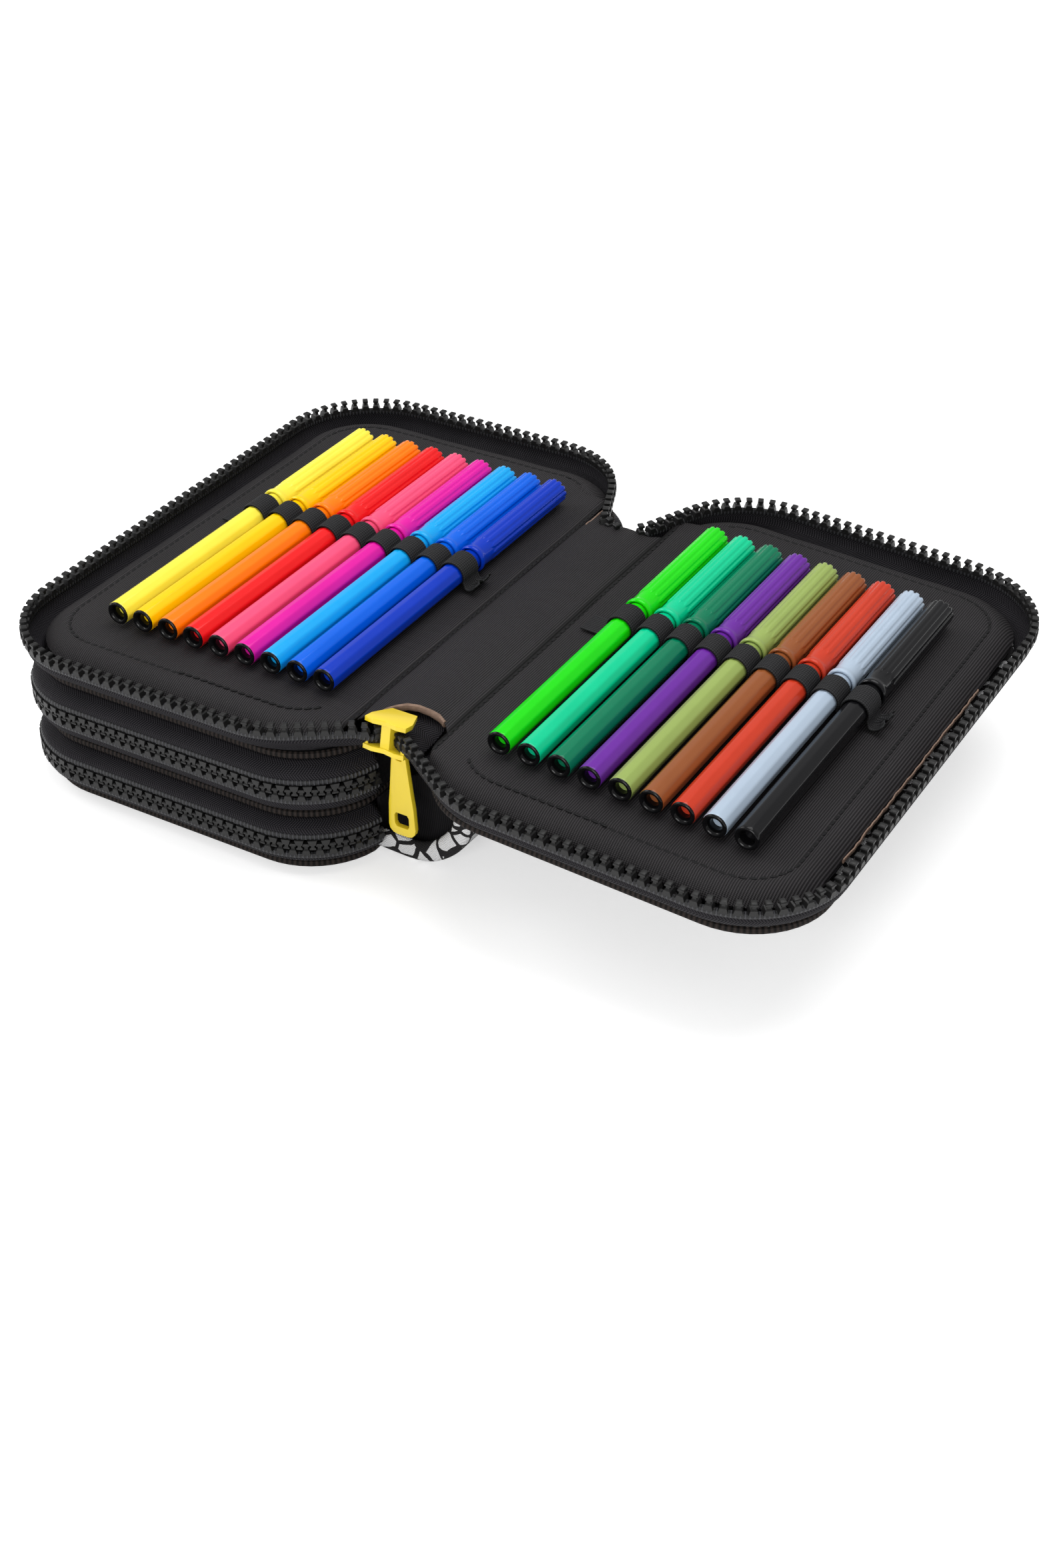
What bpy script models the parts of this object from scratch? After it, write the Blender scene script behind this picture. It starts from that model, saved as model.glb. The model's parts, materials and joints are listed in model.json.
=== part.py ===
"""Three-compartment zip pencil case with its top lid lying open and eighteen felt-tip pens.

Three shallow compartments are stacked on one spine. Each is a pair of boards whose walls
are the two halves of a moulded-tooth zip. The two lower compartments are shut. The top
one is open flat, and nine capped pens lie in elastic loops on each side of it.

Metres, +Z up. The origin is the middle of the underside of the bottom cover. The zips
run round the -X side, and the spine is at +X.
"""
import math

import bmesh
import bpy
from mathutils import Matrix, Vector

MM = 0.001

# Boards, at the seams where the zip tapes are sewn on
BOARD_WIDTH = 125 * MM
BOARD_LENGTH = 190 * MM
BOARD_RADIUS = 26 * MM
BOARD_THICKNESS = 1.6 * MM
COVER_THICKNESS = 2.4 * MM
LID_COVER_TOP = 0.8 * MM
SEAM_LIP = 0.8 * MM
CORNER_STEPS = 4
CLEARANCE = 0.3 * MM

# Fold lines of the spine, all on the plane of the boards' spine edges
SPINE_X = BOARD_WIDTH / 2
BOTTOM_FOLD_Z = COVER_THICKNESS / 2
LOWER_FOLD_Z = 20.2 * MM
UPPER_FOLD_Z = 42.0 * MM
TOP_SPINE_WIDTH = 25.5 * MM
LID_TILT = math.radians(3.3)
SPINE_THICKNESS = 1.2 * MM
SPINE_FOLD_GAP = 1.5 * MM
SPINE_HALF_LENGTH = 61 * MM
WALL_HALF_LENGTH = 72 * MM
SPINE_ARCH = 9.0 * MM

# Zips: a woven tape, and a moulded bead along its edge that carries the teeth
TAPE_THICKNESS = 0.8 * MM
BEAD_THICKNESS = 2.4 * MM
BEAD_HEIGHT = 2.7 * MM
BEAD_TO_MESH = 1.65 * MM
TAPE_IN_BEAD = 1.0 * MM
TOOTH_PITCH = 4.0 * MM
TOOTH_REACH = 1.35 * MM
TOOTH_ROOT = 1.6 * MM
TOOTH_TIP = 1.1 * MM
TEETH_END_X = SPINE_X - 1.0 * MM
SHUT_BULGE = 4.5 * MM
OPEN_BULGE = (4.8 * MM, 7.0 * MM)
SHUT_END_GAP = 60
OPEN_NEAR_END = (3.4 * MM, -86 * MM)
OPEN_FAR_END = (5.2 * MM, 62 * MM)
OPEN_SEAM_GAP = 36
OPEN_NEAR_CORNER_IN = 21 * MM
OPEN_FAR_CORNER_IN = 11 * MM
OPEN_RADIUS = 33 * MM

# Pen panels: the padded lining, raised on its padding while the compartment is open
LINING_THICKNESS = 1.6 * MM
LINING_TOP = 10.2 * MM
LINING_INSET = 0.9 * MM
PEN_AXIS_HEIGHT = 5.1 * MM
LOOP_WIDTH = 9.0 * MM
LOOP_BORE_RADIUS = 4.4 * MM
LOOP_OUTER_RADIUS = 5.0 * MM
LOOP_BASE = 0.3 * MM
LOOP_FROM_PEN_END = 72.5 * MM
LOOP_TAIL = 9 * MM

# Felt-tip pens
PEN_LENGTH = 140 * MM
PEN_SIDES = 10
BARREL_RADIUS = 4.0 * MM
CAP_RADIUS = 4.55 * MM
CAP_START = 84.2 * MM
PEN_NEAR_Y = -73.7 * MM
LEFT_FIRST_PEN = 96.4 * MM
LEFT_PITCH = 10.0 * MM
LID_FIRST_PEN = 20.3 * MM
LID_PITCH = 10.1 * MM
LID_PEN_SHIFT = -1.1 * MM

# Sliders and pull tabs
SLIDER_LENGTH = 17 * MM
SLIDER_WIDTH = 14.5 * MM
SLIDER_PLATE = 1.5 * MM
OPEN_SLIDER = (75.25 * MM, -75.0 * MM)
OPEN_SLIDER_TOP = 56.7 * MM
OPEN_SLIDER_HEIGHT = 10.4 * MM
SHUT_SLIDER_X = 26 * MM
TAB_LENGTH = 33 * MM
TAB_END_WIDTH = 10.4 * MM
TAB_ROOT_WIDTH = 4.2 * MM
TAB_THICKNESS = 1.8 * MM
TAB_CROSSBAR = 1.1 * MM
TAB_PIVOT = (-2.2 * MM, -2.75 * MM)

LEFT_COLOURS = (
    ("lemon_yellow", (0.82, 0.86, 0.09)),
    ("golden_yellow", (0.96, 0.62, 0.01)),
    ("orange", (0.95, 0.24, 0.01)),
    ("red", (0.72, 0.01, 0.01)),
    ("pink", (0.86, 0.09, 0.22)),
    ("magenta", (0.72, 0.01, 0.38)),
    ("sky_blue", (0.02, 0.42, 0.86)),
    ("blue", (0.02, 0.09, 0.62)),
    ("dark_blue", (0.01, 0.02, 0.48)),
)
LID_COLOURS = (
    ("bright_green", (0.01, 0.72, 0.01)),
    ("mint_green", (0.01, 0.55, 0.29)),
    ("dark_green", (0.01, 0.12, 0.06)),
    ("purple", (0.13, 0.02, 0.30)),
    ("olive_green", (0.26, 0.40, 0.07)),
    ("brown", (0.27, 0.08, 0.02)),
    ("rust_red", (0.48, 0.04, 0.02)),
    ("pale_blue_grey", (0.40, 0.47, 0.56)),
    ("black", (0.01, 0.01, 0.01)),
)


def clear_scene():
    for obj in list(bpy.data.objects):
        bpy.data.objects.remove(obj)
    for mesh in list(bpy.data.meshes):
        bpy.data.meshes.remove(mesh)


def new_collection(name):
    collection = bpy.data.collections.new(name)
    bpy.context.scene.collection.children.link(collection)
    return collection


def new_material(name, colour, roughness, metallic=0.0):
    material = bpy.data.materials.new(name)
    material.use_nodes = True
    shader = material.node_tree.nodes["Principled BSDF"]
    shader.inputs["Base Color"].default_value = (*colour, 1.0)
    shader.inputs["Roughness"].default_value = roughness
    shader.inputs["Metallic"].default_value = metallic
    return material


def new_object(name, mesh, material, parent=None, location=(0, 0, 0)):
    obj = bpy.data.objects.new(name, mesh)
    parts.objects.link(obj)
    mesh.materials.append(material)
    obj.parent = parent
    obj.location = location
    return obj


def new_axis(name, position, parent=None, turn=(0, 0, 0)):
    """An empty on a fold line or a joint's axis, which carries the pieces that move on it.

    The position is the world's; the carrying empties above it are all unturned.
    """
    empty = bpy.data.objects.new(name, None)
    parts.objects.link(empty)
    empty.parent = parent
    empty.location = Vector(position)
    carrier = parent
    while carrier:
        empty.location -= carrier.location
        carrier = carrier.parent
    empty.rotation_euler = turn
    return empty


def mesh_from(bm, name):
    mesh = bpy.data.meshes.new(name)
    bm.to_mesh(mesh)
    bm.free()
    return mesh


def smooth_round_faces(mesh):
    mesh.shade_smooth()
    mesh.set_sharp_from_angle(angle=math.radians(35))


def filleted_path(points, radii, steps):
    """Corner points joined by straight runs and arcs; every arc has the same number of steps."""
    path = [Vector(points[0])]
    for before, corner, after, radius in zip(points, points[1:], points[2:], radii):
        corner = Vector(corner)
        towards = (Vector(before) - corner).normalized()
        away = (Vector(after) - corner).normalized()
        half_angle = towards.angle(away) / 2
        centre = corner + (towards + away).normalized() * radius / math.sin(half_angle)
        start = corner + towards * radius / math.tan(half_angle)
        spoke = start - centre
        turn = math.pi - 2 * half_angle
        if towards.x * away.y - towards.y * away.x > 0:
            turn = -turn
        for step in range(steps + 1):
            angle = turn * step / steps
            across = Vector((-spoke.y, spoke.x))
            path.append(centre + spoke * math.cos(angle) + across * math.sin(angle))
    path.append(Vector(points[-1]))
    return path


def board_outline(grow):
    """The rounded rectangle of a board, in metres from its middle, grown all round."""
    half_x = BOARD_WIDTH / 2 + grow
    half_y = BOARD_LENGTH / 2 + grow
    radius = BOARD_RADIUS + grow
    outline = []
    for quarter, (side_x, side_y) in enumerate(((1, 1), (-1, 1), (-1, -1), (1, -1))):
        centre = Vector((side_x * (half_x - radius), side_y * (half_y - radius)))
        for step in range(CORNER_STEPS + 1):
            angle = math.radians(90) * (quarter + step / CORNER_STEPS)
            outline.append(centre + radius * Vector((math.cos(angle), math.sin(angle))))
    return outline


def flat_solid(outlines, z_low, z_high, name):
    """A flat outline, with any holes as further outlines, made solid between two heights."""
    curve = bpy.data.curves.new(name, "CURVE")
    curve.dimensions = "2D"
    curve.fill_mode = "BOTH"
    curve.extrude = (z_high - z_low) / 2
    for outline in outlines:
        spline = curve.splines.new("POLY")
        spline.points.add(len(outline) - 1)
        for point, place in zip(spline.points, outline):
            point.co = (place[0], place[1], 0, 1)
        spline.use_cyclic_u = True
    guide = bpy.data.objects.new(name, curve)
    bpy.context.scene.collection.objects.link(guide)
    depsgraph = bpy.context.evaluated_depsgraph_get()
    mesh = bpy.data.meshes.new_from_object(guide.evaluated_get(depsgraph))
    bpy.data.objects.remove(guide)
    bpy.data.curves.remove(curve)
    bm = bmesh.new()
    bm.from_mesh(mesh)
    bpy.data.meshes.remove(mesh)
    bmesh.ops.remove_doubles(bm, verts=bm.verts, dist=0.00001)
    bmesh.ops.translate(bm, verts=bm.verts, vec=(0, 0, (z_low + z_high) / 2))
    bmesh.ops.recalc_face_normals(bm, faces=bm.faces)
    return bm


def soften_rim(obj, width, segments=1):
    """Round the rim of a flat piece; the shallow angles round its corners stay as they are."""
    bevel = obj.modifiers.new("rim", "BEVEL")
    bevel.width = width
    bevel.segments = segments
    bevel.limit_method = "ANGLE"
    bevel.angle_limit = math.radians(60)


def make_board(name, z_middle, thickness, material, parent, origin, grow=SEAM_LIP):
    """A padded board with rounded corners; origin is the fold line that it turns on."""
    bm = flat_solid([board_outline(grow)], z_middle - thickness / 2, z_middle + thickness / 2, name)
    keep_spine_edge_clear(bm)
    bmesh.ops.translate(bm, verts=bm.verts, vec=-Vector(origin))
    board = new_object(name, mesh_from(bm, name), material, parent)
    soften_rim(board, thickness * 0.35)
    return board


def keep_spine_edge_clear(bm):
    """The edge beside the spine stops just short of the fold line."""
    limit = SPINE_X - CLEARANCE
    for vert in bm.verts:
        vert.co.x = min(vert.co.x, limit)
    bmesh.ops.remove_doubles(bm, verts=bm.verts, dist=0.00001)


def round_path(grow, near_gap, far_gap):
    """Round the three sides away from the spine.

    The gaps are the degrees left off the two corners beside the spine, near and far.
    """
    path = []
    corners = ((1, -1, -near_gap, -90), (-1, -1, -90, -180), (-1, 1, 180, 90), (1, 1, 90, far_gap))
    for side_x, side_y, first, last in corners:
        middle_x = side_x * (BOARD_WIDTH / 2 - BOARD_RADIUS)
        middle_y = side_y * (BOARD_LENGTH / 2 - BOARD_RADIUS)
        for step in range(CORNER_STEPS + 1):
            angle = math.radians(first + (last - first) * step / CORNER_STEPS)
            spoke = (BOARD_RADIUS + grow) * Vector((math.cos(angle), math.sin(angle)))
            path.append(Vector((middle_x, middle_y)) + spoke)
    return path


def shut_seam():
    return round_path(0, SHUT_END_GAP, SHUT_END_GAP)


def shut_path(bulge):
    """The line of the teeth of a shut zip, which stands proud of the seams."""
    return round_path(bulge, SHUT_END_GAP, SHUT_END_GAP)


def open_seam():
    """The open zip's tapes go on past the far corner, and stop short of the slider."""
    near_lead = round_path(0, OPEN_SEAM_GAP - 6, 0)[0]
    return [near_lead] + round_path(0, OPEN_SEAM_GAP, 0) + [Vector((SPINE_X, OPEN_FAR_END[1]))]


def open_path(bulge):
    """The line of the teeth of the open zip; both ends run in to the middle of the spine."""
    half_x = BOARD_WIDTH / 2
    half_y = BOARD_LENGTH / 2 + bulge[1]
    outer_x = -half_x - bulge[0]
    points = (
        (half_x + OPEN_NEAR_END[0], OPEN_NEAR_END[1]), (half_x - OPEN_NEAR_CORNER_IN, -half_y),
        (outer_x, -half_y), (outer_x, half_y),
        (half_x - OPEN_FAR_CORNER_IN, half_y), (half_x + OPEN_FAR_END[0], OPEN_FAR_END[1]),
    )
    return filleted_path(points, [OPEN_RADIUS] * 4, CORNER_STEPS)


def strip_surface(rows):
    """An open sheet through rows of points, each row a path at its own height."""
    bm = bmesh.new()
    grid = [[bm.verts.new(point) for point in row] for row in rows]
    for lower, upper in zip(grid, grid[1:]):
        for a, b, c, d in zip(lower, lower[1:], upper[1:], upper):
            bm.faces.new((a, b, c, d))
    return bm


def thicken(obj, thickness):
    solidify = obj.modifiers.new("thickness", "SOLIDIFY")
    solidify.thickness = thickness
    solidify.offset = 0.0
    solidify.use_even_offset = True


def comb_surface(path, z_near, z_far, up, first, blunt):
    """An upright strip along a path whose far edge carries a row of teeth.

    The teeth stand in the middle of their cells, shifted by first, a share of a cell, so
    that the row facing it fits between them. Blunt teeth have flat tips.
    """
    bm = bmesh.new()
    near = [bm.verts.new((point.x, point.y, z_near)) for point in path]
    far = [bm.verts.new((point.x, point.y, z_far)) for point in path]
    reach = BEAD_TO_MESH + TOOTH_REACH
    for index, (start, end) in enumerate(zip(path, path[1:])):
        length = (end - start).length
        count = int(length / TOOTH_PITCH + 0.45)
        edge = []
        for tooth in range(count):
            middle = (tooth + first) * length / count
            if start.lerp(end, middle / length).x > TEETH_END_X:
                continue
            stations = [(-TOOTH_ROOT / 2, 0), (-TOOTH_TIP / 2, reach)]
            stations += [(TOOTH_TIP / 2, reach), (TOOTH_ROOT / 2, 0)]
            if not blunt:
                stations = [(-TOOTH_ROOT / 2, 0), (0, reach), (TOOTH_ROOT / 2, 0)]
            for along, rise in stations:
                place = start.lerp(end, (middle + along) / length)
                edge.append(bm.verts.new((place.x, place.y, z_far + up * rise)))
        face = [near[index], near[index + 1], far[index + 1], *reversed(edge), far[index]]
        bm.faces.new(face)
    return bm


def raise_path(path, height):
    return [Vector((point.x, point.y, height)) for point in path]


def make_zip_half(name, seam_z, mesh_z, lines, material, parent, origin, to_lid=False):
    """One side of a zip: the tape from its seam to the bead, and the bead's row of teeth.

    mesh_z is the height at which the two rows of teeth meet, and lines are the seam and
    the line of the teeth from above. With to_lid, the piece is laid out in the lid's own
    frame, with X away from the lid's fold line. The open zip's teeth are blunt blocks; the
    shut ones show only as a closed line, and are plain wedges.
    """
    seam, teeth = lines
    up = 1 if mesh_z > seam_z else -1
    bead_far = mesh_z - up * BEAD_TO_MESH
    bead_near = bead_far - up * BEAD_HEIGHT
    tape_top = bead_near + up * TAPE_IN_BEAD
    blunt = mesh_z > UPPER_FOLD_Z
    rows = [raise_path(seam, seam_z), raise_path(teeth, tape_top)]
    if blunt:
        waist = [low.lerp(high, 0.7) for low, high in zip(seam, teeth)]
        rows.insert(1, raise_path(waist, seam_z + 0.4 * (tape_top - seam_z)))
    first = 0.75 if up < 0 or to_lid else 0.25
    bead_surface = comb_surface(teeth, bead_near, bead_far, up, first, blunt)
    tape_mesh = mesh_from(placed(strip_surface(rows), origin, to_lid), name)
    tape = new_object(name, tape_mesh, material, parent)
    thicken(tape, TAPE_THICKNESS)
    bead_mesh = mesh_from(placed(bead_surface, origin, to_lid), name + "_bead")
    bead = new_tool(name + "_bead", bead_mesh, parent)
    thicken(bead, BEAD_THICKNESS)
    union = tape.modifiers.new("bead", "BOOLEAN")
    union.operation = "UNION"
    union.solver = "EXACT"
    union.object = bead
    weld = tape.modifiers.new("weld", "WELD")
    weld.merge_threshold = 0.02 * MM
    return tape


def placed(bm, origin, to_lid):
    """Move a shape so that origin is at zero, or lay it out in the lid's own frame."""
    if to_lid:
        bmesh.ops.translate(bm, verts=bm.verts, vec=(-SPINE_X, 0, -UPPER_FOLD_Z))
        bmesh.ops.scale(bm, verts=bm.verts, vec=(-1, 1, 1))
        bmesh.ops.reverse_faces(bm, faces=bm.faces)
        return bm
    bmesh.ops.translate(bm, verts=bm.verts, vec=-Vector(origin))
    return bm


def new_tool(name, mesh, parent=None):
    """A shape that is only joined to or cut from another."""
    tool = bpy.data.objects.new(name, mesh)
    tools.objects.link(tool)
    tool.parent = parent
    tool.hide_render = True
    tool.display_type = "WIRE"
    return tool


def make_spine_wall(name, z_low, z_high, material, parent, origin):
    """A flat wall of the spine between two fold lines."""
    rows = []
    for z in (z_low + SPINE_FOLD_GAP, z_high - SPINE_FOLD_GAP):
        rows.append([Vector((SPINE_X, y, z)) for y in (-WALL_HALF_LENGTH, WALL_HALF_LENGTH)])
    bm = placed(strip_surface(rows), origin, False)
    wall = new_object(name, mesh_from(bm, name), material, parent)
    thicken(wall, SPINE_THICKNESS)
    return wall


def make_top_spine(material, parent):
    """The wall of the open compartment's spine, lying flat and arched by the lid's weight."""
    start = SPINE_FOLD_GAP
    end = TOP_SPINE_WIDTH - SPINE_FOLD_GAP
    steps = 8
    profile = []
    for step in range(steps + 1):
        share = step / steps
        lift = SPINE_ARCH * math.sin(math.pi * share) ** 0.6
        profile.append((start + (end - start) * share, lift))
    rows = []
    for y in (-SPINE_HALF_LENGTH, 0, SPINE_HALF_LENGTH - 2 * MM):
        rows.append([Vector((x, y, z)) for x, z in profile])
    bm = strip_surface(rows)
    spine = new_object("top_spine", mesh_from(bm, "top_spine"), material, parent)
    thicken(spine, SPINE_THICKNESS)
    return spine


def make_spine_cover(material, parent, origin):
    """The slack outer cloth of the spine, hanging in one fold while the lid lies open."""
    points = (
        (63.9, 1.3), (70.5, 1.1), (78.5, 1.6), (86.5, 4.4), (93.5, 9.5),
        (98.0, 17), (98.8, 25), (96.9, 32.5), (93.0, 38.0),
    )
    half = SPINE_HALF_LENGTH + 12 * MM
    rows = []
    for y in (-half, -half * 0.4, half * 0.3, half * 0.85):
        rows.append([Vector((x * MM, y, z * MM)) for x, z in points])
    bm = placed(strip_surface(rows), origin, False)
    cover = new_object("spine_cover", mesh_from(bm, "spine_cover"), material, parent)
    thicken(cover, 1.0 * MM)
    return cover


def make_lining(name, z_top, material, parent, origin, to_lid=False):
    """The lining panel that the pens are strapped to."""
    outline = board_outline(-LINING_INSET)
    bm = flat_solid([outline], z_top - LINING_THICKNESS, z_top, name)
    keep_spine_edge_clear(bm)
    if to_lid:
        bm = placed(bm, (0, 0, 0), True)
    else:
        bmesh.ops.translate(bm, verts=bm.verts, vec=-Vector(origin))
    lining = new_object(name, mesh_from(bm, name), material, parent)
    soften_rim(lining, 0.5 * MM)
    return lining


def loop_outline(count, pitch):
    """The band seen from the end: over each pen, and down to the lining between them."""
    outer = []
    valley = PEN_AXIS_HEIGHT + 2.2 * MM
    first = -LOOP_OUTER_RADIUS - LOOP_TAIL
    outer.append((first, LOOP_BASE))
    outer.append((first, LOOP_BASE + 1.2 * MM))
    outer.append((-LOOP_OUTER_RADIUS - 0.8 * MM, LOOP_BASE + 1.2 * MM))
    for index in range(count):
        centre = index * pitch
        edge = math.asin((valley - PEN_AXIS_HEIGHT) / LOOP_OUTER_RADIUS)
        arc_start = math.radians(195) if index == 0 else math.pi - edge
        arc_end = math.radians(-15) if index == count - 1 else edge
        for step in range(7):
            angle = arc_start + (arc_end - arc_start) * step / 6
            outer.append((
                centre + LOOP_OUTER_RADIUS * math.cos(angle),
                PEN_AXIS_HEIGHT + LOOP_OUTER_RADIUS * math.sin(angle),
            ))
    last = (count - 1) * pitch + LOOP_OUTER_RADIUS + 3 * MM
    outer.append((last - 2.2 * MM, LOOP_BASE + 1.2 * MM))
    outer.append((last, LOOP_BASE + 1.2 * MM))
    outer.append((last, LOOP_BASE))
    holes = []
    corner_radius = LOOP_BORE_RADIUS / math.cos(math.pi / PEN_SIDES)
    for index in range(count):
        hole = []
        for side in range(PEN_SIDES):
            angle = 2 * math.pi * (side + 0.5) / PEN_SIDES
            hole.append((
                index * pitch + corner_radius * math.cos(angle),
                PEN_AXIS_HEIGHT + corner_radius * math.sin(angle),
            ))
        holes.append(hole)
    return [outer] + holes


def make_loops(name, first_x, pitch, near_y, material, parent):
    """One elastic band stitched down between the pens; it stands across the panel."""
    bm = flat_solid(loop_outline(9, pitch), -LOOP_WIDTH / 2, LOOP_WIDTH / 2, name)
    stand_up = Matrix.Rotation(math.radians(90), 4, "X")
    bmesh.ops.transform(bm, matrix=stand_up, verts=bm.verts)
    middle_y = near_y + LOOP_FROM_PEN_END + LOOP_WIDTH / 2
    bmesh.ops.translate(bm, verts=bm.verts, vec=(first_x, middle_y, LINING_TOP))
    return new_object(name, mesh_from(bm, name), material, parent)


def turned_mesh(name, profile):
    """A round piece along +Y from (radius, y) points, listed down its outer side."""
    mesh = bpy.data.meshes.new(name)
    verts = [(radius, y, 0) for radius, y in profile]
    edges = [(index, index + 1) for index in range(len(profile) - 1)]
    mesh.from_pydata(verts, edges, [])
    shape = bpy.data.objects.new(name, mesh)
    bpy.context.scene.collection.objects.link(shape)
    screw = shape.modifiers.new("turn", "SCREW")
    screw.axis = "Y"
    screw.steps = PEN_SIDES
    screw.render_steps = PEN_SIDES
    screw.use_merge_vertices = True
    screw.merge_threshold = 0.00001
    depsgraph = bpy.context.evaluated_depsgraph_get()
    turned = bpy.data.meshes.new_from_object(shape.evaluated_get(depsgraph))
    bpy.data.objects.remove(shape)
    bpy.data.meshes.remove(mesh)
    bm = bmesh.new()
    bm.from_mesh(turned)
    bpy.data.meshes.remove(turned)
    bmesh.ops.remove_doubles(bm, verts=bm.verts, dist=0.00001)
    bmesh.ops.recalc_face_normals(bm, faces=bm.faces)
    return mesh_from(bm, name)


def barrel_mesh():
    """A barrel with a recessed plug in its near end, a neck for the cap, and the nib."""
    profile = (
        (0, 5 * MM), (1.9 * MM, 5 * MM), (1.9 * MM, 0), (3.5 * MM, 0), (BARREL_RADIUS, 0.8 * MM),
        (BARREL_RADIUS, 83.2 * MM), (3.4 * MM, 83.8 * MM), (3.4 * MM, 98 * MM),
        (1.9 * MM, 101 * MM), (0, 119 * MM),
    )
    mesh = turned_mesh("barrel", profile)
    smooth_round_faces(mesh)
    return mesh


def cap_mesh():
    """A cap, open at its mouth, with a lip, a plain band and long flutes."""
    bore = 3.75 * MM
    profile = (
        (0, 128 * MM), (bore, 127 * MM), (bore, CAP_START), (4.8 * MM, CAP_START),
        (4.8 * MM, 86.2 * MM), (CAP_RADIUS, 87 * MM), (CAP_RADIUS, 139 * MM),
        (3.9 * MM, PEN_LENGTH), (0, PEN_LENGTH),
    )
    mesh = turned_mesh("cap", profile)
    smooth_round_faces(mesh)
    return mesh


def make_pens(colours, first_x, pitch, near_y, parent):
    """Nine pens side by side, each a barrel and a cap on it."""
    for index, (colour, rgb) in enumerate(colours):
        material = new_material("pen_" + colour, rgb, 0.22)
        place = (first_x + index * pitch, near_y, LINING_TOP + PEN_AXIS_HEIGHT)
        for kind, mesh in (("barrel", barrel_mesh()), ("cap", cap_mesh())):
            new_object(f"{kind}_{colour}", mesh, material, parent, place)


def slider_mesh(name, whole):
    """A zip slider lying along Y, with its outer plate at -Z and the mouths towards -Y.

    A whole one has the inner plate and the wedge that parts the rows. One on a shut zip
    shows only the outer plate with its flanges, which ride outside the meshed rows.
    """
    width = SLIDER_WIDTH / 2
    length = SLIDER_LENGTH / 2
    outline = (
        (-width, -length), (-width * 0.55, -length - 0.8 * MM), (0, -length + 0.6 * MM),
        (width * 0.55, -length - 0.8 * MM), (width, -length), (width, -length * 0.3),
        (width * 0.62, length), (-width * 0.62, length), (-width, -length * 0.3),
    )
    mesh = mesh_from(flat_solid([outline], -SLIDER_PLATE, 0, name), name)
    if not whole:
        return mesh, []
    wedge = (
        (-1.6 * MM, 1 * MM - length), (1.6 * MM, 1 * MM - length), (2.0 * MM, -1 * MM),
        (0, 3 * MM), (-2.0 * MM, -1 * MM),
    )
    inner_top = OPEN_SLIDER_HEIGHT - SLIDER_PLATE
    wedge_top = inner_top - SLIDER_PLATE / 2
    wedge_bm = flat_solid([wedge], -SLIDER_PLATE / 2, wedge_top, name + "_wedge")
    inner_bm = flat_solid([outline], inner_top - SLIDER_PLATE, inner_top, name + "_inner")
    return mesh, [mesh_from(wedge_bm, name + "_wedge"), mesh_from(inner_bm, name + "_inner")]


def make_slider(name, whole, material, parent):
    mesh, additions = slider_mesh(name, whole)
    slider = new_object(name, mesh, material, parent)
    length = SLIDER_LENGTH / 2
    lip_rise = 1.5 * MM if whole else 0.2 * MM
    lip_x = SLIDER_WIDTH / 2 - 0.8 * MM
    for side in (-1, 1):
        bm = bmesh.new()
        bmesh.ops.create_cube(bm, size=1)
        bmesh.ops.scale(bm, verts=bm.verts, vec=(1.2 * MM, length * 0.62, lip_rise + SLIDER_PLATE / 2))
        lip_z = (lip_rise - SLIDER_PLATE / 2) / 2
        bmesh.ops.translate(bm, verts=bm.verts, vec=(side * lip_x, -length * 0.62, lip_z))
        additions.append(mesh_from(bm, name + "_lip"))
    additions.append(mesh_from(bridge_shape(), name + "_bridge"))
    for index, addition in enumerate(additions):
        tool = new_tool(f"{name}_join_{index}", addition, parent)
        union = slider.modifiers.new("join", "BOOLEAN")
        union.operation = "UNION"
        union.solver = "EXACT"
        union.object = tool
    return slider


def bridge_shape():
    """The bridge under the outer plate that the pull tab's eye hangs on."""
    outline = (
        (-6.4 * MM, 0.5 * MM), (-6.4 * MM, -2.2 * MM), (-5.0 * MM, -3.7 * MM), (0.6 * MM, -3.7 * MM),
        (2.0 * MM, -2.2 * MM), (2.0 * MM, 0.5 * MM), (0.4 * MM, 0.5 * MM), (0.4 * MM, -2.5 * MM),
        (-4.8 * MM, -2.5 * MM), (-4.8 * MM, 0.5 * MM),
    )
    bm = flat_solid([outline], -0.7 * MM, 0.7 * MM, "bridge")
    spin = Matrix(((0, 0, 1, 0), (1, 0, 0, 0), (0, 1, 0, -SLIDER_PLATE), (0, 0, 0, 1)))
    bmesh.ops.transform(bm, matrix=spin, verts=bm.verts)
    return bm


def make_tab(name, material, parent):
    """A pull tab hanging down -Z from the crossbar at its origin, wider at its slotted end."""
    root = TAB_ROOT_WIDTH / 2
    end = TAB_END_WIDTH / 2
    top = TAB_CROSSBAR / 2
    outline = [(-root, top), (root, top), (root, -9 * MM)]
    outline += rounded_end(end, TAB_LENGTH, 3.2 * MM)
    outline.append((-root, -9 * MM))
    slot = box_outline(2.6 * MM, -TAB_LENGTH + 3.0 * MM, -TAB_LENGTH + 8.2 * MM, 1.6 * MM)
    eye_hole = box_outline(1.15 * MM, -5.0 * MM, -top, 0.4 * MM)
    bm = flat_solid([outline, slot, eye_hole], -TAB_THICKNESS / 2, TAB_THICKNESS / 2, name)
    stand_up = Matrix.Rotation(math.radians(90), 4, "X")
    bmesh.ops.transform(bm, matrix=stand_up, verts=bm.verts)
    return new_object(name, mesh_from(bm, name), material, parent)


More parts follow.
